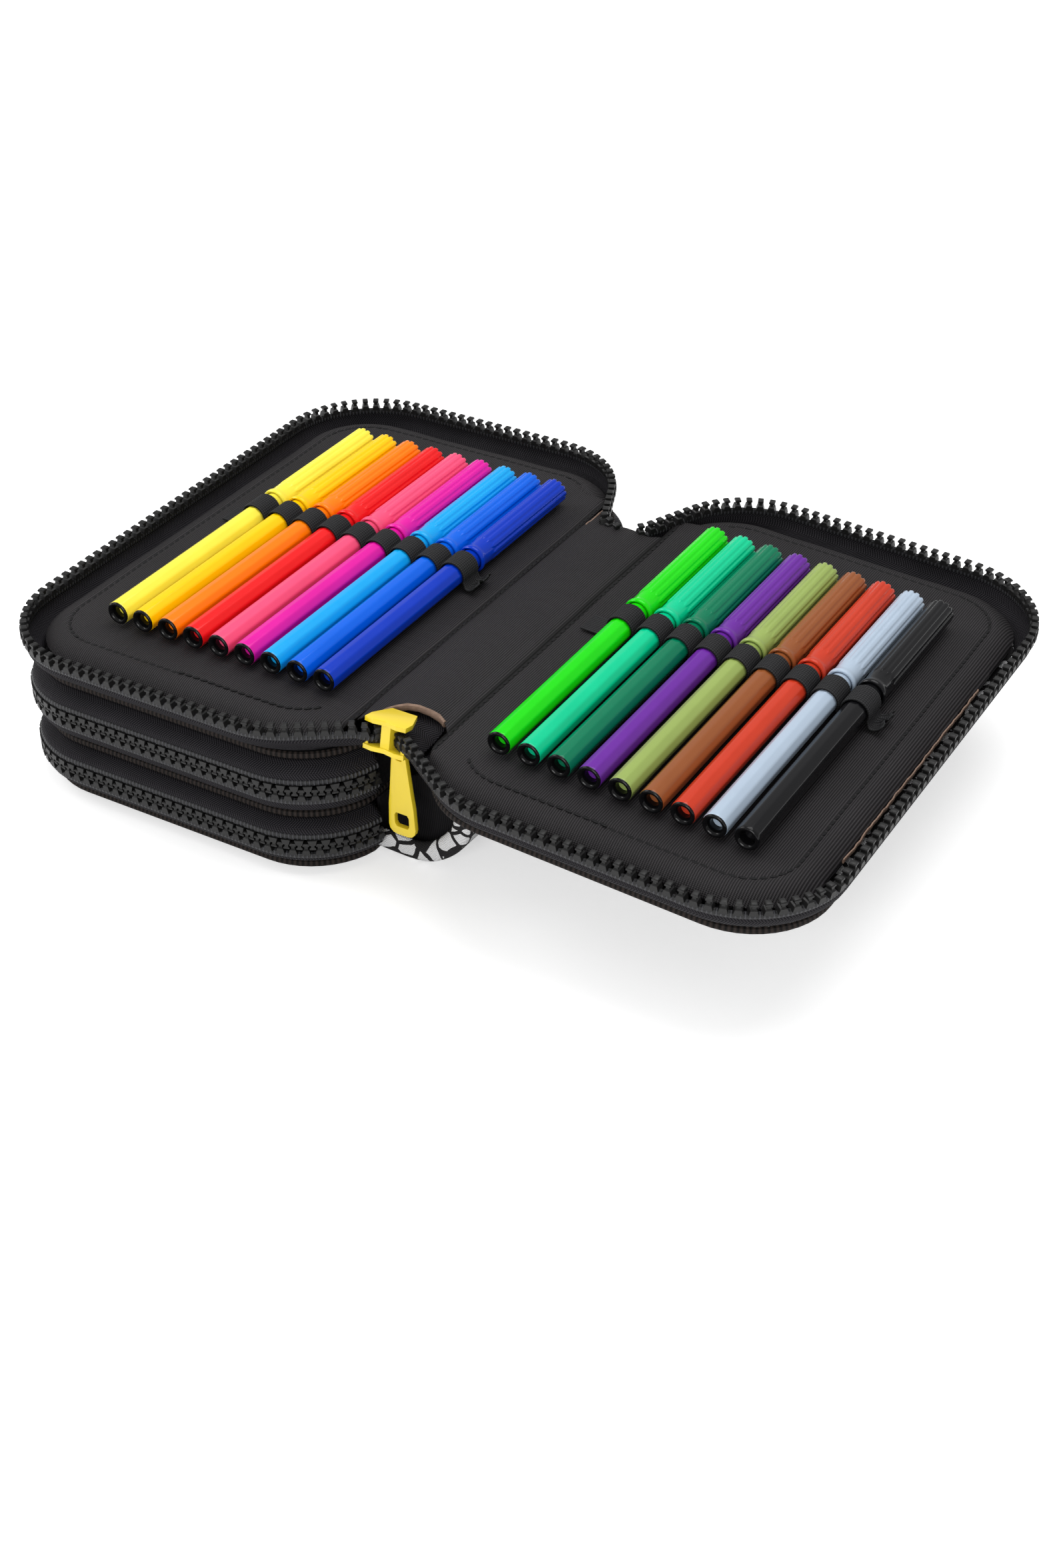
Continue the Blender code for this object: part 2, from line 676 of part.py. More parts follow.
def rounded_end(half_width, length, radius):
    """The tab's lower end, from its right edge to its left one."""
    points = [(half_width * 0.86, -16 * MM), (half_width, -22 * MM)]
    for side, start in ((1, 0), (-1, -90)):
        for step in range(4):
            angle = math.radians(start - 30 * step)
            x = side * (half_width - radius) + radius * math.cos(angle)
            y = -length + radius + radius * math.sin(angle)
            points.append((x, y))
    points.append((-half_width, -22 * MM))
    points.append((-half_width * 0.86, -16 * MM))
    return points


def box_outline(half_width, low, high, cut):
    """A slot with cut corners."""
    return [
        (half_width - cut, low), (half_width, low + cut), (half_width, high - cut),
        (half_width - cut, high), (-half_width + cut, high), (-half_width, high - cut),
        (-half_width, low + cut), (-half_width + cut, low),
    ]


def build():
    board_black = new_material("board_black", (0.012, 0.012, 0.014), 0.85)
    cover_cloth = new_material("cover_cloth", (0.30, 0.30, 0.30), 0.85)
    lining_black = new_material("lining_black", (0.020, 0.019, 0.021), 0.80)
    tape_black = new_material("tape_black", (0.013, 0.013, 0.016), 0.75)
    elastic_black = new_material("elastic_black", (0.015, 0.015, 0.017), 0.85)
    slider_yellow = new_material("slider_yellow", (0.90, 0.72, 0.03), 0.35)

    bottom_fold = (SPINE_X, 0, BOTTOM_FOLD_Z)
    lower_fold = (SPINE_X, 0, LOWER_FOLD_Z)
    upper_fold = (SPINE_X, 0, UPPER_FOLD_Z)
    bottom_mesh = (BOTTOM_FOLD_Z + LOWER_FOLD_Z) / 2
    middle_mesh = (LOWER_FOLD_Z + UPPER_FOLD_Z) / 2
    top_mesh = UPPER_FOLD_Z + TOP_SPINE_WIDTH / 2
    shut_lines = (shut_seam(), shut_path(SHUT_BULGE))
    open_lines = (open_seam(), open_path(OPEN_BULGE))
    half_board = BOARD_THICKNESS / 2
    off_board = half_board + CLEARANCE + TAPE_THICKNESS / 2

    # Bottom cover and the fixed half of the bottom zip
    make_board("bottom_cover", BOTTOM_FOLD_Z, COVER_THICKNESS, cover_cloth, None, (0, 0, 0))
    cover_top = COVER_THICKNESS + CLEARANCE + TAPE_THICKNESS / 2
    make_zip_half(
        "bottom_zip_lower", cover_top, bottom_mesh, shut_lines,
        tape_black, None, (0, 0, 0))
    make_spine_cover(cover_cloth, None, (0, 0, 0))

    # Bottom spine wall, then the lower divider with the zip halves sewn to it
    bottom_spine_axis = new_axis("bottom_spine_axis", bottom_fold)
    make_spine_wall(
        "bottom_spine", BOTTOM_FOLD_Z, LOWER_FOLD_Z, lining_black, bottom_spine_axis, bottom_fold)
    lower_axis = new_axis("lower_divider_axis", lower_fold, bottom_spine_axis)
    make_board("lower_divider", LOWER_FOLD_Z, BOARD_THICKNESS, board_black, lower_axis, lower_fold)
    make_zip_half(
        "bottom_zip_upper", LOWER_FOLD_Z - off_board, bottom_mesh, shut_lines,
        tape_black, lower_axis, lower_fold)
    make_zip_half(
        "middle_zip_lower", LOWER_FOLD_Z + off_board, middle_mesh, shut_lines,
        tape_black, lower_axis, lower_fold)

    # Middle spine wall, then the upper divider, which carries the first row of pens
    middle_spine_axis = new_axis("middle_spine_axis", lower_fold, lower_axis)
    make_spine_wall(
        "middle_spine", LOWER_FOLD_Z, UPPER_FOLD_Z, lining_black, middle_spine_axis, lower_fold)
    upper_axis = new_axis("upper_divider_axis", upper_fold, middle_spine_axis)
    make_board("upper_divider", UPPER_FOLD_Z, BOARD_THICKNESS, board_black, upper_axis, upper_fold)
    make_zip_half(
        "middle_zip_upper", UPPER_FOLD_Z - off_board, middle_mesh, shut_lines,
        tape_black, upper_axis, upper_fold)
    make_zip_half(
        "top_zip_lower", UPPER_FOLD_Z + off_board, top_mesh, open_lines,
        tape_black, upper_axis, upper_fold)
    make_lining("divider_lining", UPPER_FOLD_Z + LINING_TOP, lining_black, upper_axis, upper_fold)
    left_first = -LEFT_FIRST_PEN
    make_loops("divider_loops", left_first, LEFT_PITCH, PEN_NEAR_Y, elastic_black, upper_axis)
    make_pens(LEFT_COLOURS, left_first, LEFT_PITCH, PEN_NEAR_Y, upper_axis)

    # Top spine wall and the lid, laid out in the lid's own tilted frame
    top_spine_axis = new_axis("top_spine_axis", upper_fold, upper_axis)
    make_top_spine(lining_black, top_spine_axis)
    lid_fold = (SPINE_X + TOP_SPINE_WIDTH, 0, UPPER_FOLD_Z)
    lid_axis = new_axis("lid_axis", lid_fold, top_spine_axis, (0, LID_TILT, 0))
    make_lid_cover(cover_cloth, lid_axis)
    lid_seam = UPPER_FOLD_Z + LID_COVER_TOP + CLEARANCE + TAPE_THICKNESS / 2
    make_zip_half(
        "top_zip_lid", lid_seam, top_mesh, open_lines,
        tape_black, lid_axis, upper_fold, True)
    make_lining("lid_lining", UPPER_FOLD_Z + LINING_TOP, lining_black, lid_axis, upper_fold, True)
    lid_near_y = PEN_NEAR_Y + LID_PEN_SHIFT
    make_loops("lid_loops", LID_FIRST_PEN, LID_PITCH, lid_near_y, elastic_black, lid_axis)
    make_pens(LID_COLOURS, LID_FIRST_PEN, LID_PITCH, lid_near_y, lid_axis)

    # Sliders and pull tabs
    make_open_slider(slider_yellow, upper_axis)
    make_shut_slider("bottom", bottom_mesh, slider_yellow, None)
    make_shut_slider("middle", middle_mesh, slider_yellow, lower_axis)


def make_lid_cover(material, parent):
    """The lid's board under its outer cloth, in the lid's own frame."""
    bottom = LID_COVER_TOP - COVER_THICKNESS
    bm = flat_solid([board_outline(SEAM_LIP)], bottom, LID_COVER_TOP, "lid_cover")
    keep_spine_edge_clear(bm)
    bmesh.ops.translate(bm, verts=bm.verts, vec=(-SPINE_X, 0, 0))
    bmesh.ops.scale(bm, verts=bm.verts, vec=(-1, 1, 1))
    bmesh.ops.reverse_faces(bm, faces=bm.faces)
    cover = new_object("lid_cover", mesh_from(bm, "lid_cover"), material, parent)
    soften_rim(cover, COVER_THICKNESS * 0.35)


def make_open_slider(material, parent):
    """The slider of the open zip, at the near end of the spine, its tab hanging down."""
    base_z = OPEN_SLIDER_TOP - OPEN_SLIDER_HEIGHT + SLIDER_PLATE
    slider_axis = new_axis("top_slider_axis", (*OPEN_SLIDER, base_z), parent)
    make_slider("top_slider", True, material, slider_axis)
    tab_axis = hang_axis("top_pull_tab_axis", slider_axis, (0, 0, 0))
    make_tab("top_pull_tab", material, tab_axis)


def make_shut_slider(which, mesh_z, material, parent):
    """A slider on the far side of a shut zip, with its tab lying flat along the rows."""
    plate_y = BOARD_LENGTH / 2 + SHUT_BULGE + BEAD_THICKNESS / 2 + CLEARANCE
    slider_axis = new_axis(which + "_slider_axis", (SHUT_SLIDER_X, plate_y, mesh_z), parent)
    face_outwards = Matrix(((0, -1, 0), (0, 0, -1), (1, 0, 0)))
    slider_axis.rotation_euler = face_outwards.to_euler()
    make_slider(which + "_slider", False, material, slider_axis)
    tab_axis = hang_axis(which + "_pull_tab_axis", slider_axis, (math.radians(90), 0, 0))
    make_tab(which + "_pull_tab", material, tab_axis)


def hang_axis(name, slider_axis, turn):
    """The crossbar of a pull tab, inside the bridge of its slider."""
    empty = bpy.data.objects.new(name, None)
    parts.objects.link(empty)
    empty.parent = slider_axis
    empty.location = (0, *TAB_PIVOT)
    empty.rotation_euler = turn
    return empty


clear_scene()
parts = new_collection("pencil_case")
tools = new_collection("joining_shapes")
build()
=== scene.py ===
import json
import math

import bmesh
import bpy
from mathutils import Matrix, Vector, noise


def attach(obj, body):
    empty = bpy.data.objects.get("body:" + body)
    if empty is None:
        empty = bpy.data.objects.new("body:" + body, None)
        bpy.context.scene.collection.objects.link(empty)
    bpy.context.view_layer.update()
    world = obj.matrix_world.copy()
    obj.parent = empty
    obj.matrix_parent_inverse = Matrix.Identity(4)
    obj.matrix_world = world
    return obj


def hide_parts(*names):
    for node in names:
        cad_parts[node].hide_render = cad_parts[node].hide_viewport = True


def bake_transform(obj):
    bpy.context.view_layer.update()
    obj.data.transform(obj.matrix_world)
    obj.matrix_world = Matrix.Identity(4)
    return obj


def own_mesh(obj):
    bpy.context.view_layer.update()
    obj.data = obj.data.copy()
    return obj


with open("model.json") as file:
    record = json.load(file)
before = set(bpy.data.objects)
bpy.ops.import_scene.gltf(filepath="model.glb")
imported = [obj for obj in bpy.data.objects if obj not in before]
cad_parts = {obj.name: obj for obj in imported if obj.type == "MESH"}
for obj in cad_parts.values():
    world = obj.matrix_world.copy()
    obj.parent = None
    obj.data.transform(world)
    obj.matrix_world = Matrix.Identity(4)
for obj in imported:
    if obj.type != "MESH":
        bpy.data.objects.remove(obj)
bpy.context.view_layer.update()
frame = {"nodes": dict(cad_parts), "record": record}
mm = 0.001

# the case's layout, as in the model: boards, fold heights, zips (mm, and degrees of tilt)
case = {
    "boardWidth": 125, "boardLength": 190, "cornerRadius": 26, "spineX": 62.5, "spineEdge": 62.2,
    "lidFoldX": 88, "upperFold": 42.0, "lidTilt": 3.3, "shutBulge": 4.5, "shutEndGap": 14,
    "openBulge": (4.8, 7.0), "openNearEnd": (3.4, -86), "openFarEnd": (5.2, 62), "openSeamGap": 36,
    "openSeamLead": 6, "openNearCornerIn": 21, "openFarCornerIn": 11, "openRadius": 33,
}
dividerFold = Matrix.Translation((case["spineX"] * mm, 0, case["upperFold"] * mm))
lidPlace = Matrix.Translation((case["lidFoldX"] * mm, 0, case["upperFold"] * mm))
lidPlace = lidPlace @ Matrix.Rotation(math.radians(case["lidTilt"]), 4, "Y")
# board coordinates (mm, x from the board's middle, height over the fold) to the frame
onStack = Matrix.Diagonal((mm, mm, mm, 1))
onDivider = Matrix.Translation((0, 0, case["upperFold"] * mm)) @ onStack
onLid = lidPlace @ Matrix.Translation((case["spineX"] * mm, 0, 0)) @ Matrix.Diagonal((-mm, mm, mm, 1))


class Wire:  # one shader socket, with arithmetic on it
    def __init__(self, finish, socket):
        self.finish = finish
        self.socket = socket

    def calc(self, operation, first, second=0.0):
        return self.finish.node("ShaderNodeMath", {"operation": operation}, {0: first, 1: second})

    def __add__(self, other):
        return self.calc("ADD", self, other)

    def __radd__(self, other):
        return self.calc("ADD", other, self)

    def __sub__(self, other):
        return self.calc("SUBTRACT", self, other)

    def __rsub__(self, other):
        return self.calc("SUBTRACT", other, self)

    def __mul__(self, other):
        return self.calc("MULTIPLY", self, other)

    def __truediv__(self, other):
        return self.calc("DIVIDE", self, other)

    def __gt__(self, other):
        return self.calc("GREATER_THAN", self, other)

    def __pow__(self, other):
        return self.calc("POWER", self, other)

    def wave(self):
        return self.calc("SINE", self)

    def size(self):
        return self.calc("ABSOLUTE", self)

    def fraction(self):
        return self.calc("FRACT", self)

    def floor(self):
        return self.calc("FLOOR", self)

    def ribs(self, pitch):  # a smooth wave from 0 to 1, with a crest every pitch
        return (self / pitch * (2 * math.pi)).wave() * 0.5 + 0.5


class Finish:  # a material, its shader and its nodes
    def __init__(self, name, colour, roughness, **constants):
        self.material = bpy.data.materials.new(name)
        self.material.use_nodes = True
        self.tree = self.material.node_tree
        self.shader = self.tree.nodes["Principled BSDF"]
        self.shader.inputs["Base Color"].default_value = (*colour, 1)
        self.shader.inputs["Roughness"].default_value = roughness
        for key, value in constants.items():
            self.shader.inputs[key.replace("_", " ")].default_value = value

    def node(self, kind, settings=None, sockets=None, output=0):
        made = self.tree.nodes.new(kind)
        for key, value in (settings or {}).items():
            setattr(made, key, value)
        for key, value in (sockets or {}).items():
            self.plug(made.inputs[key], value)
        return Wire(self, made.outputs[output])

    def plug(self, socket, value):
        if isinstance(value, Wire):
            self.tree.links.new(value.socket, socket)
        elif isinstance(value, tuple) and len(value) == 3 and socket.type == "RGBA":
            socket.default_value = (*value, 1)
        else:
            socket.default_value = value

    def feed(self, name, value):
        self.plug(self.shader.inputs[name], value)

    def bump(self, height, strength, distance):
        made = self.node("ShaderNodeBump", {}, {"Strength": strength, "Distance": distance, "Height": height})
        self.feed("Normal", made)

    def mix(self, factor, first, second):
        return self.node("ShaderNodeMix", {"data_type": "RGBA"}, {0: factor, 6: first, 7: second}, 2)

    def place(self, kind="Object"):  # a coordinate, split into its three numbers
        where = self.node("ShaderNodeTexCoord", {}, {}, kind)
        split = self.tree.nodes.new("ShaderNodeSeparateXYZ")
        self.plug(split.inputs[0], where)
        return [where] + [Wire(self, split.outputs[axis]) for axis in range(3)]

    def specks(self, where, scale, detail=3.0):
        return self.node("ShaderNodeTexNoise", {}, {
            "Vector": where, "Scale": scale, "Detail": detail, "Roughness": 0.6})


def clothFromUv(name, dark, light, roughness, cloth):
    # herringbone tape: slanting cords whose slant turns over from one column to the next
    finish = Finish(name, dark, roughness, Specular_IOR_Level=0.12)
    where, along, across, _ = finish.place("UV")
    column = (across / cloth["column"]).floor()
    side = (column * 0.5).fraction() * 4.0 - 1.0
    cords = (along + side * across * cloth["slope"]).ribs(cloth["pitch"])
    picks = across.ribs(cloth["picks"])
    height = cords * 0.75 + picks * 0.25
    patch = finish.specks(where, cloth["patches"])
    tone = (height ** 1.5) * (0.55 + patch * 0.9)
    finish.feed("Base Color", finish.mix(tone, dark, light))
    finish.bump(height, 1.0, cloth["depth"])
    finish.feed("Roughness", roughness - height * 0.12)
    return finish.material


def makeFinishes():
    made = {}
    tapeWeave = {
        "column": 0.0026, "slope": 0.75, "pitch": 0.00088, "picks": 0.0006, "patches": 60.0, "depth": 0.0002}
    made["tape"] = clothFromUv("zipTape", (0.002, 0.002, 0.003), (0.04, 0.037, 0.042), 0.8, tapeWeave)

    # the sewn edge of the tape, with its stitches standing as ticks beside the teeth
    ticks = Finish("tapeEdge", (0.006, 0.006, 0.008), 0.6)
    along = ticks.place("UV")[1]
    beat = along.ribs(0.00133) ** 1.6
    ticks.feed("Base Color", ticks.mix(beat, (0.001, 0.001, 0.0015), (0.05, 0.05, 0.056)))
    ticks.bump(beat, 1.0, 0.0004)
    made["tapeEdge"] = ticks.material

    tooth = Finish("zipTooth", (0.008, 0.008, 0.008), 0.42, Specular_IOR_Level=0.35)
    where = tooth.place()[0]
    grain = tooth.specks(where, 900.0)
    tooth.feed("Base Color", tooth.mix(grain, (0.004, 0.004, 0.004), (0.012, 0.0115, 0.0115)))
    tooth.feed("Roughness", 0.34 + grain * 0.2)
    made["tooth"] = tooth.material

    # ribbed lining cloth: fine ribs along the pens, with cloudy shading
    lining = Finish("liningCloth", (0.02, 0.019, 0.02), 0.7, Specular_IOR_Level=0.15)
    where, across, along, _ = lining.place()
    ribs = across.ribs(0.00075)
    thread = (along + ribs * 0.0001).ribs(0.00042)
    cloudy = lining.specks(where, 14.0, 4.0)
    weave = ribs * 0.7 + thread * 0.3
    # the two seam grooves beside the spine get painted shade: the cloth is drawn darker along them
    clearOfSeamShade = ((across - 0.0606).size() > 0.0007) * ((across - 0.0899).size() > 0.0007)
    tone = weave * (0.45 + cloudy * 0.8) * (0.3 + clearOfSeamShade * 0.7)
    lining.feed("Base Color", lining.mix(tone, (0.003, 0.0028, 0.003), (0.052, 0.048, 0.051)))
    lining.feed("Roughness", 0.68 - ribs * 0.14)
    lining.bump(weave + cloudy * 0.5, 1.0, 0.0002)
    made["lining"] = lining.material

    # outer cloth: coarse plain weave with irregular black and white patches
    cover = Finish("coverCloth", (0.3, 0.3, 0.3), 0.8, Specular_IOR_Level=0.1)
    where, across, along, up = cover.place()
    warp = across.ribs(0.0009)
    weft = (along + up).ribs(0.0009)
    checker = warp * weft + (1 - warp) * (1 - weft)
    drift = cover.specks(where, 26.0, 2.0)
    sway = cover.node("ShaderNodeTexNoise", {}, {"Vector": where, "Scale": 55.0}, 1)
    bent = cover.node("ShaderNodeVectorMath", {"operation": "ADD"}, {
        0: where, 1: cover.node("ShaderNodeVectorMath", {"operation": "SCALE"}, {0: sway, 3: 0.01})})
    cracks = {"Vector": bent, "Scale": 165.0}
    gaps = cover.node("ShaderNodeTexVoronoi", {"feature": "DISTANCE_TO_EDGE"}, cracks)
    cells = cover.node("ShaderNodeTexVoronoi", {"feature": "F1"}, cracks, 1)
    pick = cover.node("ShaderNodeSeparateColor", {}, {0: cells})
    patches = (gaps > 0.1) * (pick > 0.22)
    shade = cover.mix(patches, (0.012, 0.011, 0.012), (0.86, 0.86, 0.87))
    worn = cover.mix(checker * 0.3 + drift * 0.15, shade, cover.mix(0.4, shade, (0.1, 0.1, 0.1)))
    cover.feed("Base Color", worn)
    cover.bump(checker, 0.9, 0.0003)
    made["cover"] = cover.material

    # black cloth of the inner boards
    inner = Finish("boardCloth", (0.008, 0.008, 0.009), 0.8, Specular_IOR_Level=0.15)
    _, across, along, _ = inner.place()
    rows = (across + along).ribs(0.0007)
    inner.feed("Base Color", inner.mix(rows, (0.003, 0.003, 0.0035), (0.016, 0.015, 0.017)))
    inner.bump(rows, 0.6, 0.0001)
    made["board"] = inner.material

    # rope-like overlocked edge
    rope = Finish("sewnEdge", (0.01, 0.008, 0.007), 0.75, Specular_IOR_Level=0.15)
    where, along, around, _ = rope.place("UV")
    turns = (along + around * 0.0016).ribs(0.0016) ** 0.7
    fuzz = rope.specks(where, 700.0)
    tone = turns * (0.6 + fuzz * 0.5)
    rope.feed("Base Color", rope.mix(tone, (0.002, 0.002, 0.002), (0.034, 0.026, 0.023)))
    rope.bump(turns + fuzz * 0.3, 1.0, 0.0004)
    made["sewnEdge"] = rope.material

    raw = Finish("rawEdge", (0.13, 0.08, 0.055), 0.85)
    where = raw.place()[0]
    fibres = raw.specks(where, 500.0, 4.0)
    raw.feed("Base Color", raw.mix(fibres, (0.09, 0.055, 0.04), (0.34, 0.225, 0.165)))
    raw.bump(fibres, 0.8, 0.0002)
    made["rawEdge"] = raw.material

    # knitted elastic: its cords stand up in its mesh, and their tops get a painted highlight, with painted
    # shade in the grooves between them
    elastic = Finish("elasticBand", (0.006, 0.006, 0.007), 0.7, Specular_IOR_Level=0.2)
    _, along, across, _ = elastic.place("UV")
    knit = along.ribs(0.0007)
    # painted light on the cords: pale tops, and near-black painted shade between them
    cords = (across / 0.0009 * (2 * math.pi) - math.pi / 2).wave() * 0.5 + 0.5
    elastic.feed("Base Color", elastic.mix(
        (cords ** 1.6) * (0.55 + knit * 0.45), (0.0005, 0.0005, 0.0006), (0.034, 0.034, 0.036)))
    elastic.bump(knit, 0.7, 0.00012)
    made["elastic"] = elastic.material

    thread = Finish("stitchThread", (0.003, 0.003, 0.003), 0.6, Specular_IOR_Level=0.2)
    where = thread.place()[0]
    strands = thread.specks(where, 1500.0)
    thread.feed("Base Color", thread.mix(strands, (0.001, 0.001, 0.0012), (0.009, 0.009, 0.01)))
    made["thread"] = thread.material

    enamel = Finish("sliderEnamel", (0.93, 0.70, 0.022), 0.3, Coat_Weight=0.4, Coat_Roughness=0.12)
    where = enamel.place()[0]
    orange = enamel.specks(where, 260.0, 2.0)
    wear = enamel.specks(where, 40.0, 5.0)
    enamel.feed("Base Color", enamel.mix(wear, (0.96, 0.73, 0.03), (0.86, 0.63, 0.016)))
    enamel.feed("Roughness", 0.26 + wear * 0.14)
    enamel.bump(orange, 0.25, 0.0001)
    made["enamel"] = enamel.material

    made["plug"] = penPlastic("plugPlastic", (0.004, 0.004, 0.0045), 0.16)
    return made


def penPlastic(name, colour, roughness=0.2):
    # injection moulded polypropylene: glossy, very slightly wavy, a touch of depth
    finish = Finish(name, colour, roughness, Specular_IOR_Level=0.2, Coat_Weight=0.12, Coat_Roughness=0.06)
    where = finish.place()[0]
    swirl = finish.specks(where, 55.0, 2.0)
    lighter = tuple(min(1.0, value * 1.08) for value in colour)
    darker = tuple(value * 0.93 for value in colour)
    finish.feed("Base Color", finish.mix(swirl, darker, lighter))
    finish.feed("Roughness", roughness - 0.04 + swirl * 0.08)
    finish.bump(finish.specks(where, 320.0, 2.0), 0.08, 0.0001)
    return finish.material


def keepMesh(name, bm):
    mesh = bpy.data.meshes.new(name)
    bm.to_mesh(mesh)
    bm.free()
    return mesh


def newPiece(name, bm, material, place=None, sharp=40):
    # a finished bmesh into the scene, its place in its mesh, smooth but for edges over sharp degrees
    if place is not None:
        bmesh.ops.transform(bm, matrix=place, verts=bm.verts)
        if place.determinant() < 0:
            bmesh.ops.reverse_faces(bm, faces=bm.faces)
    mesh = keepMesh(name, bm)
    piece = bpy.data.objects.new(name, mesh)
    bpy.context.scene.collection.objects.link(piece)
    mesh.materials.append(material)
    mesh.shade_smooth()
    mesh.set_sharp_from_angle(angle=math.radians(sharp))
    return piece


def vertsOf(geometry):
    return [item for item in geometry if isinstance(item, bmesh.types.BMVert)]


def thicken(piece, thickness, offset=-1.0):
    solid = piece.modifiers.new("cloth", "SOLIDIFY")
    solid.thickness = thickness
    solid.offset = offset


def soften(piece):
    rounded = piece.modifiers.new("round", "SUBSURF")
    rounded.levels = 1
    rounded.render_levels = 1


def cornerArc(path, centre, radius, first, last, steps):
    for step in range(steps + 1):
        angle = math.radians(first + (last - first) * step / steps)
        path.append(Vector((*centre, 0)) + radius * Vector((math.cos(angle), math.sin(angle), 0)))


def sideLine(grow, nearGap, farGap, steps=14):
    path = []
    inX = case["boardWidth"] / 2 - case["cornerRadius"]
    inY = case["boardLength"] / 2 - case["cornerRadius"]
    radius = case["cornerRadius"] + grow
    cornerArc(path, (inX, -inY), radius, -nearGap, -90, steps)
    cornerArc(path, (-inX, -inY), radius, -90, -180, steps)
    cornerArc(path, (-inX, inY), radius, 180, 90, steps)
    cornerArc(path, (inX, inY), radius, 90, farGap, steps)
    return path


# the soft ends of the open chain, past the last stiff teeth: (x, y, height), spine end first
chainEnds = {
    "divider": {
        "nearTeeth": ((72.2, -81.6, -2.2), (69.4, -84.4, -0.8)),
        "nearSeam": ((63.4, -70.0, 0), (62.2, -76.0, 0)),
        "farTeeth": ((71.6, 60.2, -0.2), (76.4, 58.0, -1.2)),
        "farSeam": ((63.2, 60.0, 0), (64.0, 57.0, 0))},
    "lid": {
        "nearTeeth": ((73.4, -81.0, -3.8), (69.8, -83.8, -2.0)),
        "nearSeam": ((64.6, -67.0, 0), (62.6, -75.0, 0)),
        "farTeeth": ((69.6, 60.8, -0.4), (71.6, 59.0, -1.6)),
        "farSeam": ((63.0, 60.5, 0), (63.4, 59.0, 0))},
}


def openSeamLine(ends, steps=14):
    lead = sideLine(0, case["openSeamGap"] - case["openSeamLead"], 0)[0]
    near = [Vector(point) for point in ends["nearSeam"]]
    far = [Vector((case["spineX"], case["openFarEnd"][1], 0))] + [Vector(point) for point in ends["farSeam"]]
    return near + [lead] + sideLine(0, case["openSeamGap"], 0, steps) + far


def openTeethLine(ends, steps=14):
    halfX = case["boardWidth"] / 2
    bulge = case["openBulge"][0]
    halfY = case["boardLength"] / 2 + case["openBulge"][1]
    points = [Vector((*point, 0)) for point in (
        (halfX + case["openNearEnd"][0], case["openNearEnd"][1]),
        (halfX - case["openNearCornerIn"], -halfY), (-halfX - bulge, -halfY), (-halfX - bulge, halfY),
        (halfX - case["openFarCornerIn"], halfY),
        (halfX + case["openFarEnd"][0], case["openFarEnd"][1]))]
    path = [points[0]]
    for before, corner, after in zip(points, points[1:], points[2:]):
        towards = (before - corner).normalized()
        away = (after - corner).normalized()
        half = towards.angle(away) / 2
        centre = corner + (towards + away).normalized() * case["openRadius"] / math.sin(half)
        spoke = corner + towards * case["openRadius"] / math.tan(half) - centre
        turn = math.pi - 2 * half
        if towards.x * away.y - towards.y * away.x > 0:
            turn = -turn
        for step in range(steps + 1):
            angle = turn * step / steps
            path.append(centre + spoke * math.cos(angle) + Vector((-spoke.y, spoke.x, 0)) * math.sin(angle))
    path.append(points[-1])
    near = [Vector(point) for point in ends["nearTeeth"]]
    return near + path + [Vector(point) for point in ends["farTeeth"]]


def pairLines(seam, teeth, spacing=1.6):
    # both lines cut at the same places, so that rows can be joined point for point
    seamPoints, teethPoints = [], []
    for index in range(len(teeth) - 1):
        pieces = max(1, round((teeth[index + 1] - teeth[index]).length / spacing))
        for piece in range(pieces):
            share = piece / pieces
            seamPoints.append(seam[index].lerp(seam[index + 1], share))
            teethPoints.append(teeth[index].lerp(teeth[index + 1], share))
    return seamPoints + [seam[-1]], teethPoints + [teeth[-1]]


def lengthsAlong(line):
    lengths = [0.0]
    for first, second in zip(line, line[1:]):
        lengths.append(lengths[-1] + (second - first).length)
    return lengths


def pointAlong(line, lengths, distance):
    index = 0
    while index < len(line) - 2 and lengths[index + 1] < distance:
        index += 1
    run = max(lengths[index + 1] - lengths[index], 1e-6)
    ahead = line[min(index + 2, len(line) - 1)] - line[max(index - 1, 0)]
    return line[index].lerp(line[index + 1], (distance - lengths[index]) / run), ahead.xy.normalized()


def stampMesh(bm, template, point, ahead, height, up=1):
    # one more copy of a small mesh, turned along a line
    before = len(bm.verts)
    bm.from_mesh(template)
    bm.verts.ensure_lookup_table()
    turn = Matrix((
        (ahead.x, -ahead.y, 0, point.x), (ahead.y, ahead.x, 0, point.y), (0, 0, up, height), (0, 0, 0, 1)))
    bmesh.ops.transform(bm, matrix=turn, verts=bm.verts[before:])


def sweepRows(rows, closed=False):
    # lays a grid along rows of points, side by side, and gives it a UV map in metres of cloth
    if closed:
        rows = rows + rows[:1]
    middle = len(rows[0]) // 2
    alongs = lengthsAlong(rows[len(rows) // 2])
    acrosses = lengthsAlong([row[middle] for row in rows])
    columns, lines = len(rows[0]) - 1, len(rows) - 1
    bm = bmesh.new()
    bmesh.ops.create_grid(bm, x_segments=columns, y_segments=lines, size=1)
    uvLayer = bm.loops.layers.uv.new("cloth")
    spots = {}
    for vert in bm.verts:
        spots[vert] = (round((vert.co.x + 1) / 2 * columns), round((vert.co.y + 1) / 2 * lines))
    for face in bm.faces:
        for loop in face.loops:
            column, line = spots[loop.vert]
            loop[uvLayer].uv = (alongs[column] * mm, acrosses[line] * mm)
    for vert, (column, line) in spots.items():
        vert.co = rows[line][column]
    if closed:
        bmesh.ops.remove_doubles(bm, verts=bm.verts, dist=0.0001)
    return bm


def clothGrid(rows):
    bm = sweepRows(rows)
    bmesh.ops.recalc_face_normals(bm, faces=bm.faces)
    return bm


def flatSize(bm, line):
    # the width and length of a cloth, worked out from its own mesh: area over length, and length
    length = lengthsAlong(line)[-1] * mm
    return sum(face.calc_area() for face in bm.faces) * mm * mm / length, length


